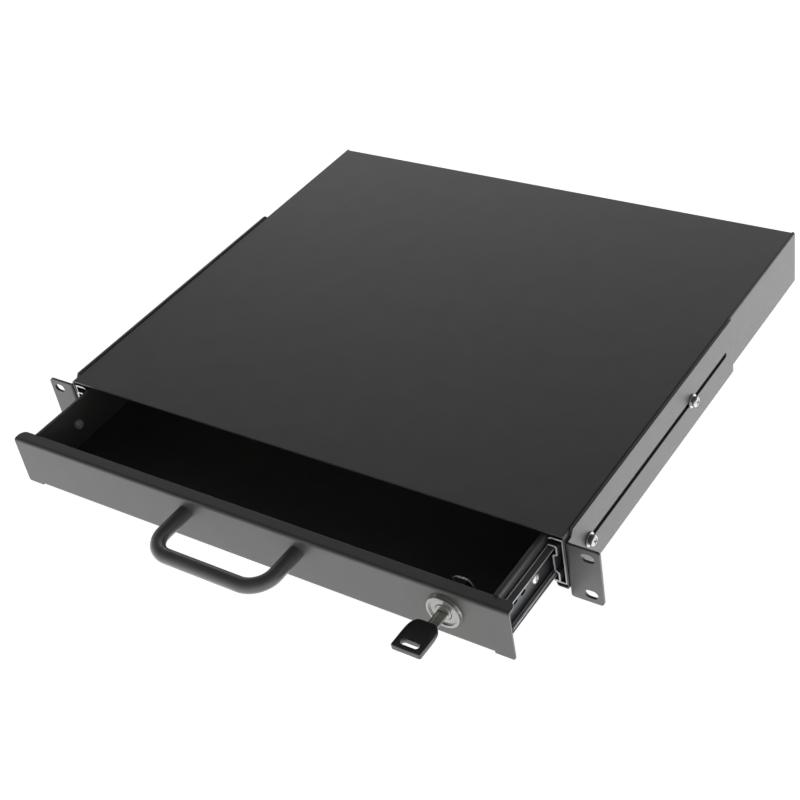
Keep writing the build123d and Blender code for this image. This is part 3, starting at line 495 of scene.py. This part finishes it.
def shaded(material, values, links, pattern, depth, strength, matt=None, under=None):
    """Close a material with its shader. A pattern raises the surface by a depth, on top of another normal
    where there is one, and varies the roughness between two limits where they are given."""
    base = {"Normal": under} if under else {}
    bump = add_node(material, "ShaderNodeBump", values={"Strength": strength, "Distance": depth},
                    links={"Height": pattern, **base})
    links = {**links, "Normal": bump.outputs["Normal"]}
    if matt:
        span = {**noise_span, "To Min": matt[0], "To Max": matt[1]}
        level = add_node(material, "ShaderNodeMapRange", values=span, links={"Value": pattern})
        links["Roughness"] = level.outputs["Result"]
    shader = add_node(material, "ShaderNodeBsdfPrincipled", values=values, links=links)
    add_node(material, "ShaderNodeOutputMaterial", links={"Surface": shader.outputs["BSDF"]})
    return material


def powder_coat(settings):
    """Polyester powder coat, baked on folded steel: the melted grains leave a fine matt orange peel, which
    scatters the light evenly, and the coat draws back a little from the sheared edges, so these catch it."""
    material, place = new_material("polyester_powder_coat")
    # The real grain is about 0.3 mm and wouldn't show, so it is drawn about four times as coarse
    grain = grain_of(material, place, settings.coat_grain, detail=3.0)
    cloud = grain_of(material, place, 24 * MM, detail=5.0)
    edge = add_node(material, "ShaderNodeBevel", samples=6, values={"Radius": 0.45 * MM})
    colour = tinted(material, settings.coat_colour, cloud, 0.9, 1.08)
    return shaded(material, {"Roughness": 0.5, "IOR": 1.5, "Specular IOR Level": 0.5}, {"Base Color": colour},
                  grain, 0.05 * MM, 0.5, (0.38, 0.5), edge.outputs["Normal"])


def handle_coat(settings):
    """Smooth satin coat on bent rod: it has no grain and is only a little uneven over some 9 mm, so it shows
    soft long highlights."""
    material, place = new_material("satin_coat_on_rod")
    cloud = grain_of(material, place, 9 * MM)
    colour = tinted(material, settings.handle_colour, cloud, 0.93, 1.05)
    return shaded(material, {"Roughness": 0.34, "IOR": 1.5}, {"Base Color": colour}, cloud, 0.02 * MM, 0.4,
                  (0.3, 0.4))


def worked_steel(name, colour, roughness, grain, stretch=(1, 1, 1), spread=0.08, metallic=1.0):
    """Steel that was rolled, drawn, pressed or polished, bare or plated: the work shows as fine specks, also
    through a plate, and as streaks where they are stretched along it."""
    material, place = new_material(name)
    streak = grain_of(material, place, grain, stretch, 3.0)
    colour = tinted(material, colour, streak, 0.86, 1.05)
    return shaded(material, {"Metallic": metallic, "Roughness": roughness}, {"Base Color": colour}, streak,
                  0.01 * MM, 0.5, (roughness - spread, roughness + spread))


def black_zinc(settings, lips=1.0, web=2.0):
    """Black-passivated zinc on rolled strip: dark satin faces with the rolling lines along the strip. The
    strip was cut after it was plated, so its ends are bright steel, as are its lips. Its bends are rubbed.
    Its flanges are painted a lighter grey outward from the web: painted light, because the lamps give them
    little. Lips and web are distances from the tray's middle. Their defaults lie past the object, and give
    neither bright lips nor painted grey flanges."""
    material, place = new_material("black_passivated_zinc")
    streak = grain_of(material, place, 0.35 * MM, (1, 60, 1), 3.0)
    normal = add_node(material, "ShaderNodeTexCoord").outputs["Normal"]
    # This mask starts with the rubbed edges; it gathers the bare steel, and on the flanges painted light
    bare = worn_edge(material, 0.25 * MM, 0.35)
    # Ends, lips and flanges: what is measured along which axis, where the steel, and on the flanges the
    # painted light, starts to show, where it shows in full, and how much of it
    for source, axis, start, end, most in (
            (normal, "Y", 0.9, 0.95, 1.0),
            (place, "X", lips - 0.1 * MM, lips - 0.05 * MM, 1.0),
            # Flanges: painted lighter grey outward from the web, painted light that the lamps don't give them
            (place, "X", web + 0.2 * MM, web + 1.0 * MM, 0.3)):
        part = add_node(material, "ShaderNodeSeparateXYZ", links={"Vector": source}).outputs[axis]
        size = add_node(material, "ShaderNodeMath", operation="ABSOLUTE", links={0: part})
        level = add_node(material, "ShaderNodeMapRange", links={"Value": size.outputs[0]},
                         values={"From Min": start, "From Max": end, "To Min": 0.0, "To Max": most})
        bare = add_node(material, "ShaderNodeMath", operation="MAXIMUM",
                        links={0: bare, 1: level.outputs["Result"]}).outputs[0]
    dark = tinted(material, settings.slide_colour, streak, 0.86, 1.1)
    colour = add_node(material, "ShaderNodeMix", data_type="RGBA",
                      values={"B": linear("#cfd0d2")}, links={"Factor": bare, "A": dark}).outputs["Result"]
    return shaded(material, {"Metallic": 0.4, "Roughness": 0.34}, {"Base Color": colour}, streak, 0.01 * MM,
                  0.5, (0.28, 0.42))


def worn_edge(material, radius, amount):
    """How much an outer edge is rubbed: the angle between the true normal and one rounded at the edges."""
    rounded = add_node(material, "ShaderNodeBevel", samples=6, values={"Radius": radius})
    true = add_node(material, "ShaderNodeNewGeometry").outputs["True Normal"]
    lean = add_node(material, "ShaderNodeVectorMath", operation="DOT_PRODUCT",
                    links={0: rounded.outputs["Normal"], 1: true}).outputs["Value"]
    return add_node(material, "ShaderNodeMapRange", links={"Value": lean}, values={
        "From Min": 0.75, "From Max": 0.97, "To Min": amount, "To Max": 0.0}).outputs["Result"]


def turned_nickel(settings, centre, panel, rear):
    """Satin nickel on a turned die casting: the tool leaves fine rings round the lock's axis. The thread
    behind the panel is painted dark, a painted shade, and the rim at its end is painted bright and less
    metallic, a painted highlight."""
    material, place = new_material("turned_satin_nickel")
    mapping = add_node(material, "ShaderNodeMapping", values={"Location": tuple(-centre)},
                       links={"Vector": place})
    # Rings as fine as the tool's wouldn't show, so this scale draws them about 1.6 mm apart
    rings = add_node(material, "ShaderNodeTexWave", wave_type="RINGS", rings_direction="Y",
                     values={"Scale": 200.0, "Distortion": 0.6, "Detail": 1.0},
                     links={"Vector": mapping.outputs["Vector"]}).outputs["Fac"]
    back = add_node(material, "ShaderNodeSeparateXYZ", links={"Vector": place}).outputs["Y"]
    colour = tinted(material, settings.nickel_colour, rings, 0.9, 1.03)
    # Painted shade on the thread, then a painted highlight on the rim: where each starts, where it is full,
    # and its colour
    for start, end, shade in (
            (panel, panel + 0.5 * MM, linear("#2a2a29")),
            (rear - 1.5 * MM, rear - 1.3 * MM, linear("#f2f2ee"))):
        level = add_node(material, "ShaderNodeMapRange", values={"From Min": start, "From Max": end},
                         links={"Value": back}).outputs["Result"]
        colour = add_node(material, "ShaderNodeMix", data_type="RGBA", values={"B": shade},
                          links={"Factor": level, "A": colour}).outputs["Result"]
    # The painted highlight on the rim is also made less metallic
    metal = add_node(material, "ShaderNodeMapRange", values={"To Min": 0.5, "To Max": 0.1},
                     links={"Value": level}).outputs["Result"]
    return shaded(material, {"Metallic": 0.5, "Roughness": 0.22}, {"Base Color": colour, "Metallic": metal},
                  rings, 0.008 * MM, 0.4)


def moulded_plastic(settings):
    """Injection-moulded ABS: an even black with the fine matt texture of a spark-eroded mould."""
    material, place = new_material("moulded_abs")
    # The real texture is under 0.1 mm and wouldn't show, so it is drawn several times as coarse
    grain = grain_of(material, place, 0.5 * MM)
    colour = tinted(material, settings.bow_colour, grain, 0.92, 1.06)
    return shaded(material, {"Roughness": 0.42, "IOR": 1.53}, {"Base Color": colour}, grain, 0.02 * MM, 0.4,
                  (0.36, 0.5))


def make_materials(settings, sheet):
    """Every finish of the object, by the record's slot, or by the node or pieces that have their own. The
    slides are rolled from strip of the given thickness."""
    lock_low, lock_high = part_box("lock_body")
    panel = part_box("front_panel")[0].y
    inner, outer = (corner.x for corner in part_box("slide_inner_right"))
    materials["powder_coat"] = powder_coat(settings)
    materials["handle_coat"] = handle_coat(settings)
    materials["black_zinc_steel"] = black_zinc(settings)
    # The inner members' flanges are painted lighter grey outward from the web, as painted light
    inner_slides_painted_light = black_zinc(settings, outer, inner + sheet)
    materials["slide_inner_left"] = materials["slide_inner_right"] = inner_slides_painted_light
    # The ridges are painted bright all over, a painted highlight along the grooves' backs and the bends
    materials["raceway_ridges_painted_bright"] = black_zinc(settings, inner)
    materials["zinc_hardware"] = worked_steel(
        "zinc_plated_fastener", settings.zinc_colour, 0.24, 0.6 * MM, metallic=0.8)
    # Inside the drawer little light falls, so these are painted paler and less metallic than the zinc
    # outside, a painted highlight
    materials["drawer_fasteners"] = worked_steel(
        "zinc_fastener_painted_pale", linear("#d8d8d6"), 0.26, 0.6 * MM, metallic=0.6)
    materials["cage_steel"] = worked_steel("pressed_cage_steel", linear("#a3a29c"), 0.4, 0.5 * MM, (1, 20, 1))
    materials["bearing_steel"] = worked_steel(
        "polished_bearing_steel", linear("#d3d5d8"), 0.1, 2 * MM, spread=0.03)
    materials["lock_nickel"] = turned_nickel(settings, (lock_low + lock_high) / 2, panel, lock_high.y)
    materials["key_steel"] = worked_steel("nickel_plated_blank", linear("#d2d0cb"), 0.36, 0.3 * MM, (6, 1, 1))
    materials["key_plastic"] = moulded_plastic(settings)


def finish_nodes():
    """Give each CAD node the material of its record slot, or its own where it has one; its shape stays."""
    for part in frame["record"]["subparts"]:
        node = frame["nodes"][part["node"]]
        node.data.materials.clear()
        node.data.materials.append(materials.get(part["node"], materials[part["material_slot"]]))


# Pieces


def places_along(node, radius, count):
    """Centres along Y of a row of equal round things, from the ends of their node's box."""
    low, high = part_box(node)
    return np.linspace(low.y + radius, high.y - radius, count)


class TRAY_OT_materials(bpy.types.Operator):
    """Make the finishes and give each CAD node its own"""
    bl_idname = "tray.materials"
    bl_label = "Finishes"

    def execute(self, context):
        make_materials(context.scene.tray_finish, context.scene.tray_sizes.slide_sheet)
        finish_nodes()
        return {"FINISHED"}


class TRAY_OT_handle(bpy.types.Operator):
    """Bend the pull handle from round rod"""
    bl_idname = "tray.handle"
    bl_label = "Pull handle"

    def execute(self, context):
        low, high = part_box("handle")
        bend = context.scene.tray_sizes.handle_bend
        rod = (high.z - low.z) / 2
        level = (low.z + high.z) / 2
        leg = high.x - rod
        front = low.y + rod
        turn = np.linspace(0, math.pi / 2, 17)
        # Middle line of the left half: straight leg, quarter circle, and half of the grip
        x = np.concatenate([[-leg, -leg], -leg + bend * (1 - np.cos(turn)), [0.0]])
        y = [[high.y, (high.y + front + bend) / 2], front + bend - bend * np.sin(turn), [front]]
        y = np.concatenate(y)
        path = np.stack([np.concatenate([x, -x[-2::-1]]), np.concatenate([y, y[-2::-1]])], -1)
        ahead = np.gradient(path, axis=0)
        ahead[0] = ahead[1] = (0, -1)
        ahead[-1] = ahead[-2] = (0, 1)
        ahead /= np.linalg.norm(ahead, axis=1)[:, None]
        side = np.stack([-ahead[:, 1], ahead[:, 0]], -1)
        angle = circle(48)
        plan = path[:, None, :] + rod * np.cos(angle)[None, :, None] * side[:, None, :]
        height = np.broadcast_to(level + rod * np.sin(angle), plan.shape[:2])
        rod_surface = capped(np.concatenate([plan, height[..., None]], -1))
        add_piece("pull_handle", [rod_surface], "drawer", "handle_coat", "handle", smooth_angle=50)
        return {"FINISHED"}


class TRAY_OT_bracket_fasteners(bpy.types.Operator):
    """Make the clamp screws with their spring washers, flat washers and nuts"""
    bl_idname = "tray.bracket_fasteners"
    bl_label = "Clamp screws"

    def execute(self, context):
        sizes = context.scene.tray_sizes
        steps = sizes.steps
        low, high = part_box("bracket_screws")
        flat_low, flat_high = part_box("bracket_flat_washers")
        spring_low, spring_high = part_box("bracket_spring_washers")
        level = (high.z + low.z) / 2
        head = (high.z - low.z) / 2
        flat = (flat_high.z - flat_low.z) / 2
        spring = (spring_high.z - spring_low.z) / 2
        shank = head / 2
        hole = 1.05 * shank
        flat_seat = flat_high.x - FLAT_WASHER
        nut_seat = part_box("bracket_nuts")[1].x - M4_THIN_NUT
        tip = nut_seat - 0.4 * MM
        made = {"screws": [], "spring_washers": [], "flat_washers": [], "nuts": []}
        for side in (-1, 1):
            axis = (side, 0, 0)
            for y in places_along("bracket_screws", head, 2):
                made["screws"].append(pan_head_screw(
                    (side * spring_high.x, y, level), axis, head, high.x - spring_high.x, shank,
                    spring_high.x - tip, sizes.thread_pitch, sizes.recess_reach, steps))
                made["spring_washers"].append(split_ring(
                    (side * flat_high.x, y, level), axis, spring, hole, spring_high.x - flat_high.x, steps))
                made["flat_washers"].append(flat_ring(
                    (side * flat_seat, y, level), axis, flat, hole, FLAT_WASHER, steps))
                made["nuts"].append(hex_nut(
                    (side * nut_seat, y, level), axis, M4_FLATS, M4_THIN_NUT, shank, steps))
        for kind, shapes in made.items():
            add_piece(f"clamp_{kind}", shapes, "case", "zinc_hardware", f"bracket_{kind}")
        return {"FINISHED"}


class TRAY_OT_drawer_fasteners(bpy.types.Operator):
    """Make the screws and nuts of the inner slide members, and the handle's screws"""
    bl_idname = "tray.drawer_fasteners"
    bl_label = "Drawer screws"

    def execute(self, context):
        sizes = context.scene.tray_sizes
        steps = sizes.steps
        low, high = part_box("drawer_slide_screws")
        head = (high.z - low.z) / 2
        level = (high.z + low.z) / 2
        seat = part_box("drawer_tray")[1].x + sizes.slide_sheet
        nut_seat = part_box("drawer_slide_nuts")[1].x - M4_NUT
        tip = nut_seat - 0.5 * MM
        first, last = places_along("drawer_slide_screws", head, 2)
        screws, nuts = [], []
        for side in (-1, 1):
            axis = (side, 0, 0)
            # The middle screw is 115 mm behind the ears' face
            for y in (first, 115 * MM, last):
                screws.append(pan_head_screw(
                    (side * seat, y, level), axis, head, high.x - seat, M4_RADIUS, seat - tip,
                    sizes.thread_pitch, sizes.recess_reach, steps))
                nuts.append(hex_nut((side * nut_seat, y, level), axis, M4_FLATS, M4_NUT, M4_RADIUS, steps))
        for kind, shapes in (("screws", screws), ("nuts", nuts)):
            add_piece(f"slide_{kind}", shapes, "drawer", "zinc_hardware", f"drawer_slide_{kind}",
                      finish="drawer_fasteners")
        low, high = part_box("handle_screws")
        head = (high.z - low.z) / 2
        level = (high.z + low.z) / 2
        seat = high.y - M5_HEAD
        screws = [pan_head_screw((x, seat, level), (0, 1, 0), head, M5_HEAD, M5_RADIUS, seat - low.y,
                                 M5_PITCH, sizes.recess_reach, steps)
                  for x in (low.x + head, high.x - head)]
        add_piece("handle_fixing_screws", screws, "drawer", "zinc_hardware", "handle_screws",
                  finish="drawer_fasteners")
        return {"FINISHED"}


class TRAY_OT_raceways(bpy.types.Operator):
    """Raise the backs of the ball grooves along the inner slide members' flanges"""
    bl_idname = "tray.raceways"
    bl_label = "Raceways"

    def execute(self, context):
        sizes = context.scene.tray_sizes
        sheet, width, rise = sizes.slide_sheet, sizes.raceway_width, sizes.raceway_rise
        for hand, side in (("left", -1), ("right", 1)):
            low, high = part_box(f"slide_inner_{hand}")
            balls_low, balls_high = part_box(f"balls_inner_{hand}")
            middle = (balls_low.x + balls_high.x) / 2
            web = min(abs(low.x), abs(high.x)) + sheet
            # Inside each flange the back of its groove, and along each bend at the web a low line; all are
            # painted bright, as a painted highlight
            ridges = [raceway(middle, level, face, low.y, high.y, width, rise)
                      for level, face in ((low.z + sheet, 1), (high.z - sheet, -1))]
            ridges += [raceway(side * (web + inset), level, face, low.y, high.y, 0.5 * width, 0.4 * rise)
                       for level, face, inset in ((low.z, -1, 0), (high.z, 1, 0), (low.z + sheet, 1, sheet))]
            add_piece(f"raceway_ridges_painted_bright_{hand}", ridges, "drawer", "black_zinc_steel", smooth_angle=50,
                      finish="raceway_ridges_painted_bright")
        return {"FINISHED"}


class TRAY_OT_lock(bpy.types.Operator):
    """Turn the lock's body, and make its nut, its cam and the screw that holds the cam"""
    bl_idname = "tray.lock"
    bl_label = "Cam lock"

    def execute(self, context):
        sizes = context.scene.tray_sizes
        steps = 2 * sizes.steps
        low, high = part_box("lock_body")
        nut_low, nut_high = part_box("lock_nut")
        cam_low, cam_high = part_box("lock_cam")
        screw_low, screw_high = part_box("cam_screw")
        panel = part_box("front_panel")[0].y
        x, z = (low.x + high.x) / 2, (low.z + high.z) / 2
        back = (0, 1, 0)
        barrel = lock_barrel((x, panel, z), low.y - panel, high.y - panel, sizes, steps)
        add_piece("lock_barrel", [barrel], "drawer", "lock_nickel", "lock_body", smooth_angle=30)
        nut = hex_nut((x, nut_low.y, z), back, nut_high.z - nut_low.z, nut_high.y - nut_low.y,
                      sizes.barrel_radius, steps)
        add_piece("lock_ring_nut", [nut], "drawer", "zinc_hardware", "lock_nut")
        cam = cam_plate((x, cam_low.y, z), cam_high.y - cam_low.y, (cam_high.x - cam_low.x) / 2,
                        z - cam_low.z, sizes.tail_width, steps)
        add_piece("cam_plate", [cam], "lock", "zinc_hardware", "lock_cam")
        screw = pan_head_screw((x, cam_high.y, z), back, (screw_high.x - screw_low.x) / 2,
                               screw_high.y - cam_high.y, sizes.cam_screw_radius, cam_high.y - screw_low.y,
                               sizes.thread_pitch, sizes.recess_reach, sizes.steps)
        add_piece("cam_holding_screw", [screw], "lock", "zinc_hardware", "cam_screw")
        return {"FINISHED"}


class TRAY_OT_key(bpy.types.Operator):
    """Cut the key's blade and mould its grip"""
    bl_idname = "tray.key"
    bl_label = "Key"

    def execute(self, context):
        blade = key_blank(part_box("key_blade"))
        add_piece("key_blank", [blade], "key", "key_steel", "key_blade", smooth_angle=25)
        grip = key_grip(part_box("key_bow"), context.scene.tray_sizes)
        add_piece("key_grip", [grip], "key", "key_plastic", "key_bow", smooth_angle=40)
        return {"FINISHED"}


class TRAY_OT_balls(bpy.types.Operator):
    """Make the bearing balls smooth, in the places of the CAD balls"""
    bl_idname = "tray.balls"
    bl_label = "Bearing balls"

    def execute(self, context):
        for row in ("outer_left", "outer_right", "inner_left", "inner_right"):
            node = f"balls_{row}"
            low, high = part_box(node)
            radius = (high.x - low.x) / 2
            x = (high.x + low.x) / 2
            balls = [ball((x, y, z), radius) for z in (low.z + radius, high.z - radius)
                     for y in places_along(node, radius, 6)]
            kind, hand = row.split("_")
            add_piece(f"bearing_{node}", balls, f"{kind}_cage_{hand}", "bearing_steel", node, smooth_angle=60)
        return {"FINISHED"}


class TRAY_OT_stage(bpy.types.Operator):
    """Set the floor, the light and the camera"""
    bl_idname = "tray.stage"
    bl_label = "Stage"

    def execute(self, context):
        settings = context.scene.tray_stage
        low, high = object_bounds()
        ground, back = low[2], high[1]
        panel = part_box("front_panel")[0].y
        # The ears reach 24 mm out from the side plates
        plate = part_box("bracket_right")[1].x - 24 * MM
        self.floor(ground)
        self.world(settings.ceiling_level)
        # The lamps lie on the floor round the object, as the light that a white floor throws back. Each has
        # its left front corner, its right rear corner and its brightness
        for name, near, far, level in (
                ("right", (plate, -1.3), (plate + 1.5, 1.5), settings.side_level),
                ("front", (-0.9, -1.5), (plate, panel), settings.front_level),
                ("left", (-plate - 1.3, panel), (-plate, 1.5), settings.far_level),
                ("behind", (-plate, back), (plate, 1.5), settings.far_level)):
            lamp = self.lamp(f"lamp_{name}", far[0] - near[0], far[1] - near[1], level)
            # Just above the floor, under the object and face up
            lamp.location = ((near[0] + far[0]) / 2, (near[1] + far[1]) / 2, ground - 0.05 * MM)
            lamp.rotation_euler = (math.pi, 0, 0)
        self.window(settings.window_level)
        self.camera()
        return {"FINISHED"}

    def floor(self, ground):
        """A wide flat floor just under the ears: white for the camera, with the object's shadow kept."""
        half = 9.0
        x, y = np.meshgrid([-half, half], [-half, half])
        grid = np.stack([x, y, np.full_like(x, ground - 0.1 * MM)], -1)
        floor = surface_object("floor", [(grid, False, False)])
        if floor.data.polygons[0].normal.z < 0:
            floor.data.flip_normals()
        material = bpy.data.materials.new("pale_paper_sweep")
        material.use_nodes = True
        material.node_tree.nodes.clear()
        ray = add_node(material, "ShaderNodeLightPath")
        seen = add_node(material, "ShaderNodeMath", operation="ADD",
                        links={0: ray.outputs["Is Camera Ray"], 1: ray.outputs["Is Glossy Ray"]})
        seen = add_node(material, "ShaderNodeMath", operation="ADD", use_clamp=True,
                        links={0: seen.outputs[0], 1: ray.outputs["Is Transmission Ray"]})
        paper = add_node(material, "ShaderNodeBsdfDiffuse", values={"Color": linear("#d6d6d6")})
        shade = add_node(material, "ShaderNodeBsdfDiffuse", values={"Color": linear("#acacac")})
        glow = add_node(material, "ShaderNodeEmission", values={"Color": (1, 1, 1, 1), "Strength": 0.955})
        white = add_node(material, "ShaderNodeAddShader", links={0: shade.outputs[0], 1: glow.outputs[0]})
        mix = add_node(material, "ShaderNodeMixShader",
                       links={0: seen.outputs[0], 1: paper.outputs[0], 2: white.outputs[0]})
        add_node(material, "ShaderNodeOutputMaterial", links={"Surface": mix.outputs[0]})
        floor.data.materials.append(material)
        floor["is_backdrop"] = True

    def world(self, ceiling):
        """White where the camera sees it. The object is lit and mirrored by a room that is white near the
        horizon and falls with height to a dark ceiling."""
        world = bpy.data.worlds.new("studio")
        bpy.context.scene.world = world
        world.use_nodes = True
        world.node_tree.nodes.clear()
        ray = add_node(world, "ShaderNodeLightPath")
        way = add_node(world, "ShaderNodeTexCoord").outputs["Generated"]
        height = add_node(world, "ShaderNodeSeparateXYZ", links={"Vector": way}).outputs["Z"]
        room = add_node(world, "ShaderNodeMapRange", links={"Value": height}, values={
            "From Min": 0.4, "From Max": 0.54, "To Min": 1.0, "To Max": ceiling}).outputs["Result"]
        strength = add_node(world, "ShaderNodeMapRange", values={"To Max": 1.0},
                            links={"Value": ray.outputs["Is Camera Ray"], "To Min": room}).outputs["Result"]
        back = add_node(world, "ShaderNodeBackground", values={"Color": (1, 1, 1, 1)},
                        links={"Strength": strength})
        add_node(world, "ShaderNodeOutputWorld", links={"Surface": back.outputs[0]})

    def window(self, level):
        """A soft light that stands low behind the object on the left and faces it, so it grazes the top."""
        lamp = self.lamp("lamp_window", 2.4, 0.7, level)
        place = Vector((-0.9, 2.3, 0.66))
        aim = Vector((0, 0.15, 0))
        lamp.location = place
        lamp.rotation_euler = (aim - place).to_track_quat("-Z", "Y").to_euler()

    def lamp(self, name, width, height, level):
        """A rectangular soft lamp of an even brightness, which the camera doesn't see."""
        light = bpy.data.lights.new(name, "AREA")
        light.shape = "RECTANGLE"
        light.size = width
        light.size_y = height
        # Four times its area gives a lamp of the brightness 1
        light.energy = 4 * width * height * level
        lamp = bpy.data.objects.new(name, light)
        bpy.context.scene.collection.objects.link(lamp)
        lamp.visible_camera = False
        return lamp

    def camera(self):
        """The photograph's viewpoint, in metres, with its directions to the right, up and backwards."""
        data = bpy.data.cameras.new("camera")
        data.sensor_fit = "HORIZONTAL"
        data.sensor_width = 36.0
        data.lens = 68.753
        data.clip_start = 0.01
        data.clip_end = 100
        camera = bpy.data.objects.new("camera", data)
        bpy.context.scene.collection.objects.link(camera)
        right = Vector((0.825, 0.54402, -0.15302))
        up = Vector((-0.23439, 0.57577, 0.78329))
        back = Vector((0.51423, -0.61035, 0.60253))
        turn = Matrix((right, up, back)).transposed().to_4x4()
        camera.matrix_world = Matrix.Translation((0.60453, -0.59084, 0.68863)) @ turn
        bpy.context.scene.camera = camera


class TRAY_PT_panel(bpy.types.Panel):
    """Lists the tray's steps and settings in the sidebar"""
    bl_label = "Keyboard Tray"
    bl_idname = "TRAY_PT_panel"
    bl_space_type = "VIEW_3D"
    bl_region_type = "UI"
    bl_category = "Keyboard Tray"

    def draw(self, context):
        for step in steps_in_order:
            self.layout.operator(step.bl_idname)
        for owner in setting_groups:
            group = getattr(context.scene, owner)
            for name in group.bl_rna.properties.keys():
                if name not in ("rna_type", "name"):
                    self.layout.prop(group, name)


steps_in_order = (
    TRAY_OT_materials,
    TRAY_OT_handle,
    TRAY_OT_bracket_fasteners,
    TRAY_OT_drawer_fasteners,
    TRAY_OT_raceways,
    TRAY_OT_lock,
    TRAY_OT_key,
    TRAY_OT_balls,
    TRAY_OT_stage,
)
setting_groups = {
    "tray_finish": TrayFinishSettings,
    "tray_sizes": TraySizeSettings,
    "tray_stage": TrayStageSettings,
}
classes = (*setting_groups.values(), *steps_in_order, TRAY_PT_panel)


def register():
    for each in classes:
        bpy.utils.register_class(each)
    for name, group in setting_groups.items():
        setattr(bpy.types.Scene, name, bpy.props.PointerProperty(type=group))


def unregister():
    for name in setting_groups:
        delattr(bpy.types.Scene, name)
    for each in reversed(classes):
        bpy.utils.unregister_class(each)


def main():
    register()
    bpy.context.scene.view_settings.view_transform = "Standard"
    for step in steps_in_order:
        area, action = step.bl_idname.split(".")
        getattr(getattr(bpy.ops, area), action)()


if __name__ == "__main__":
    main()
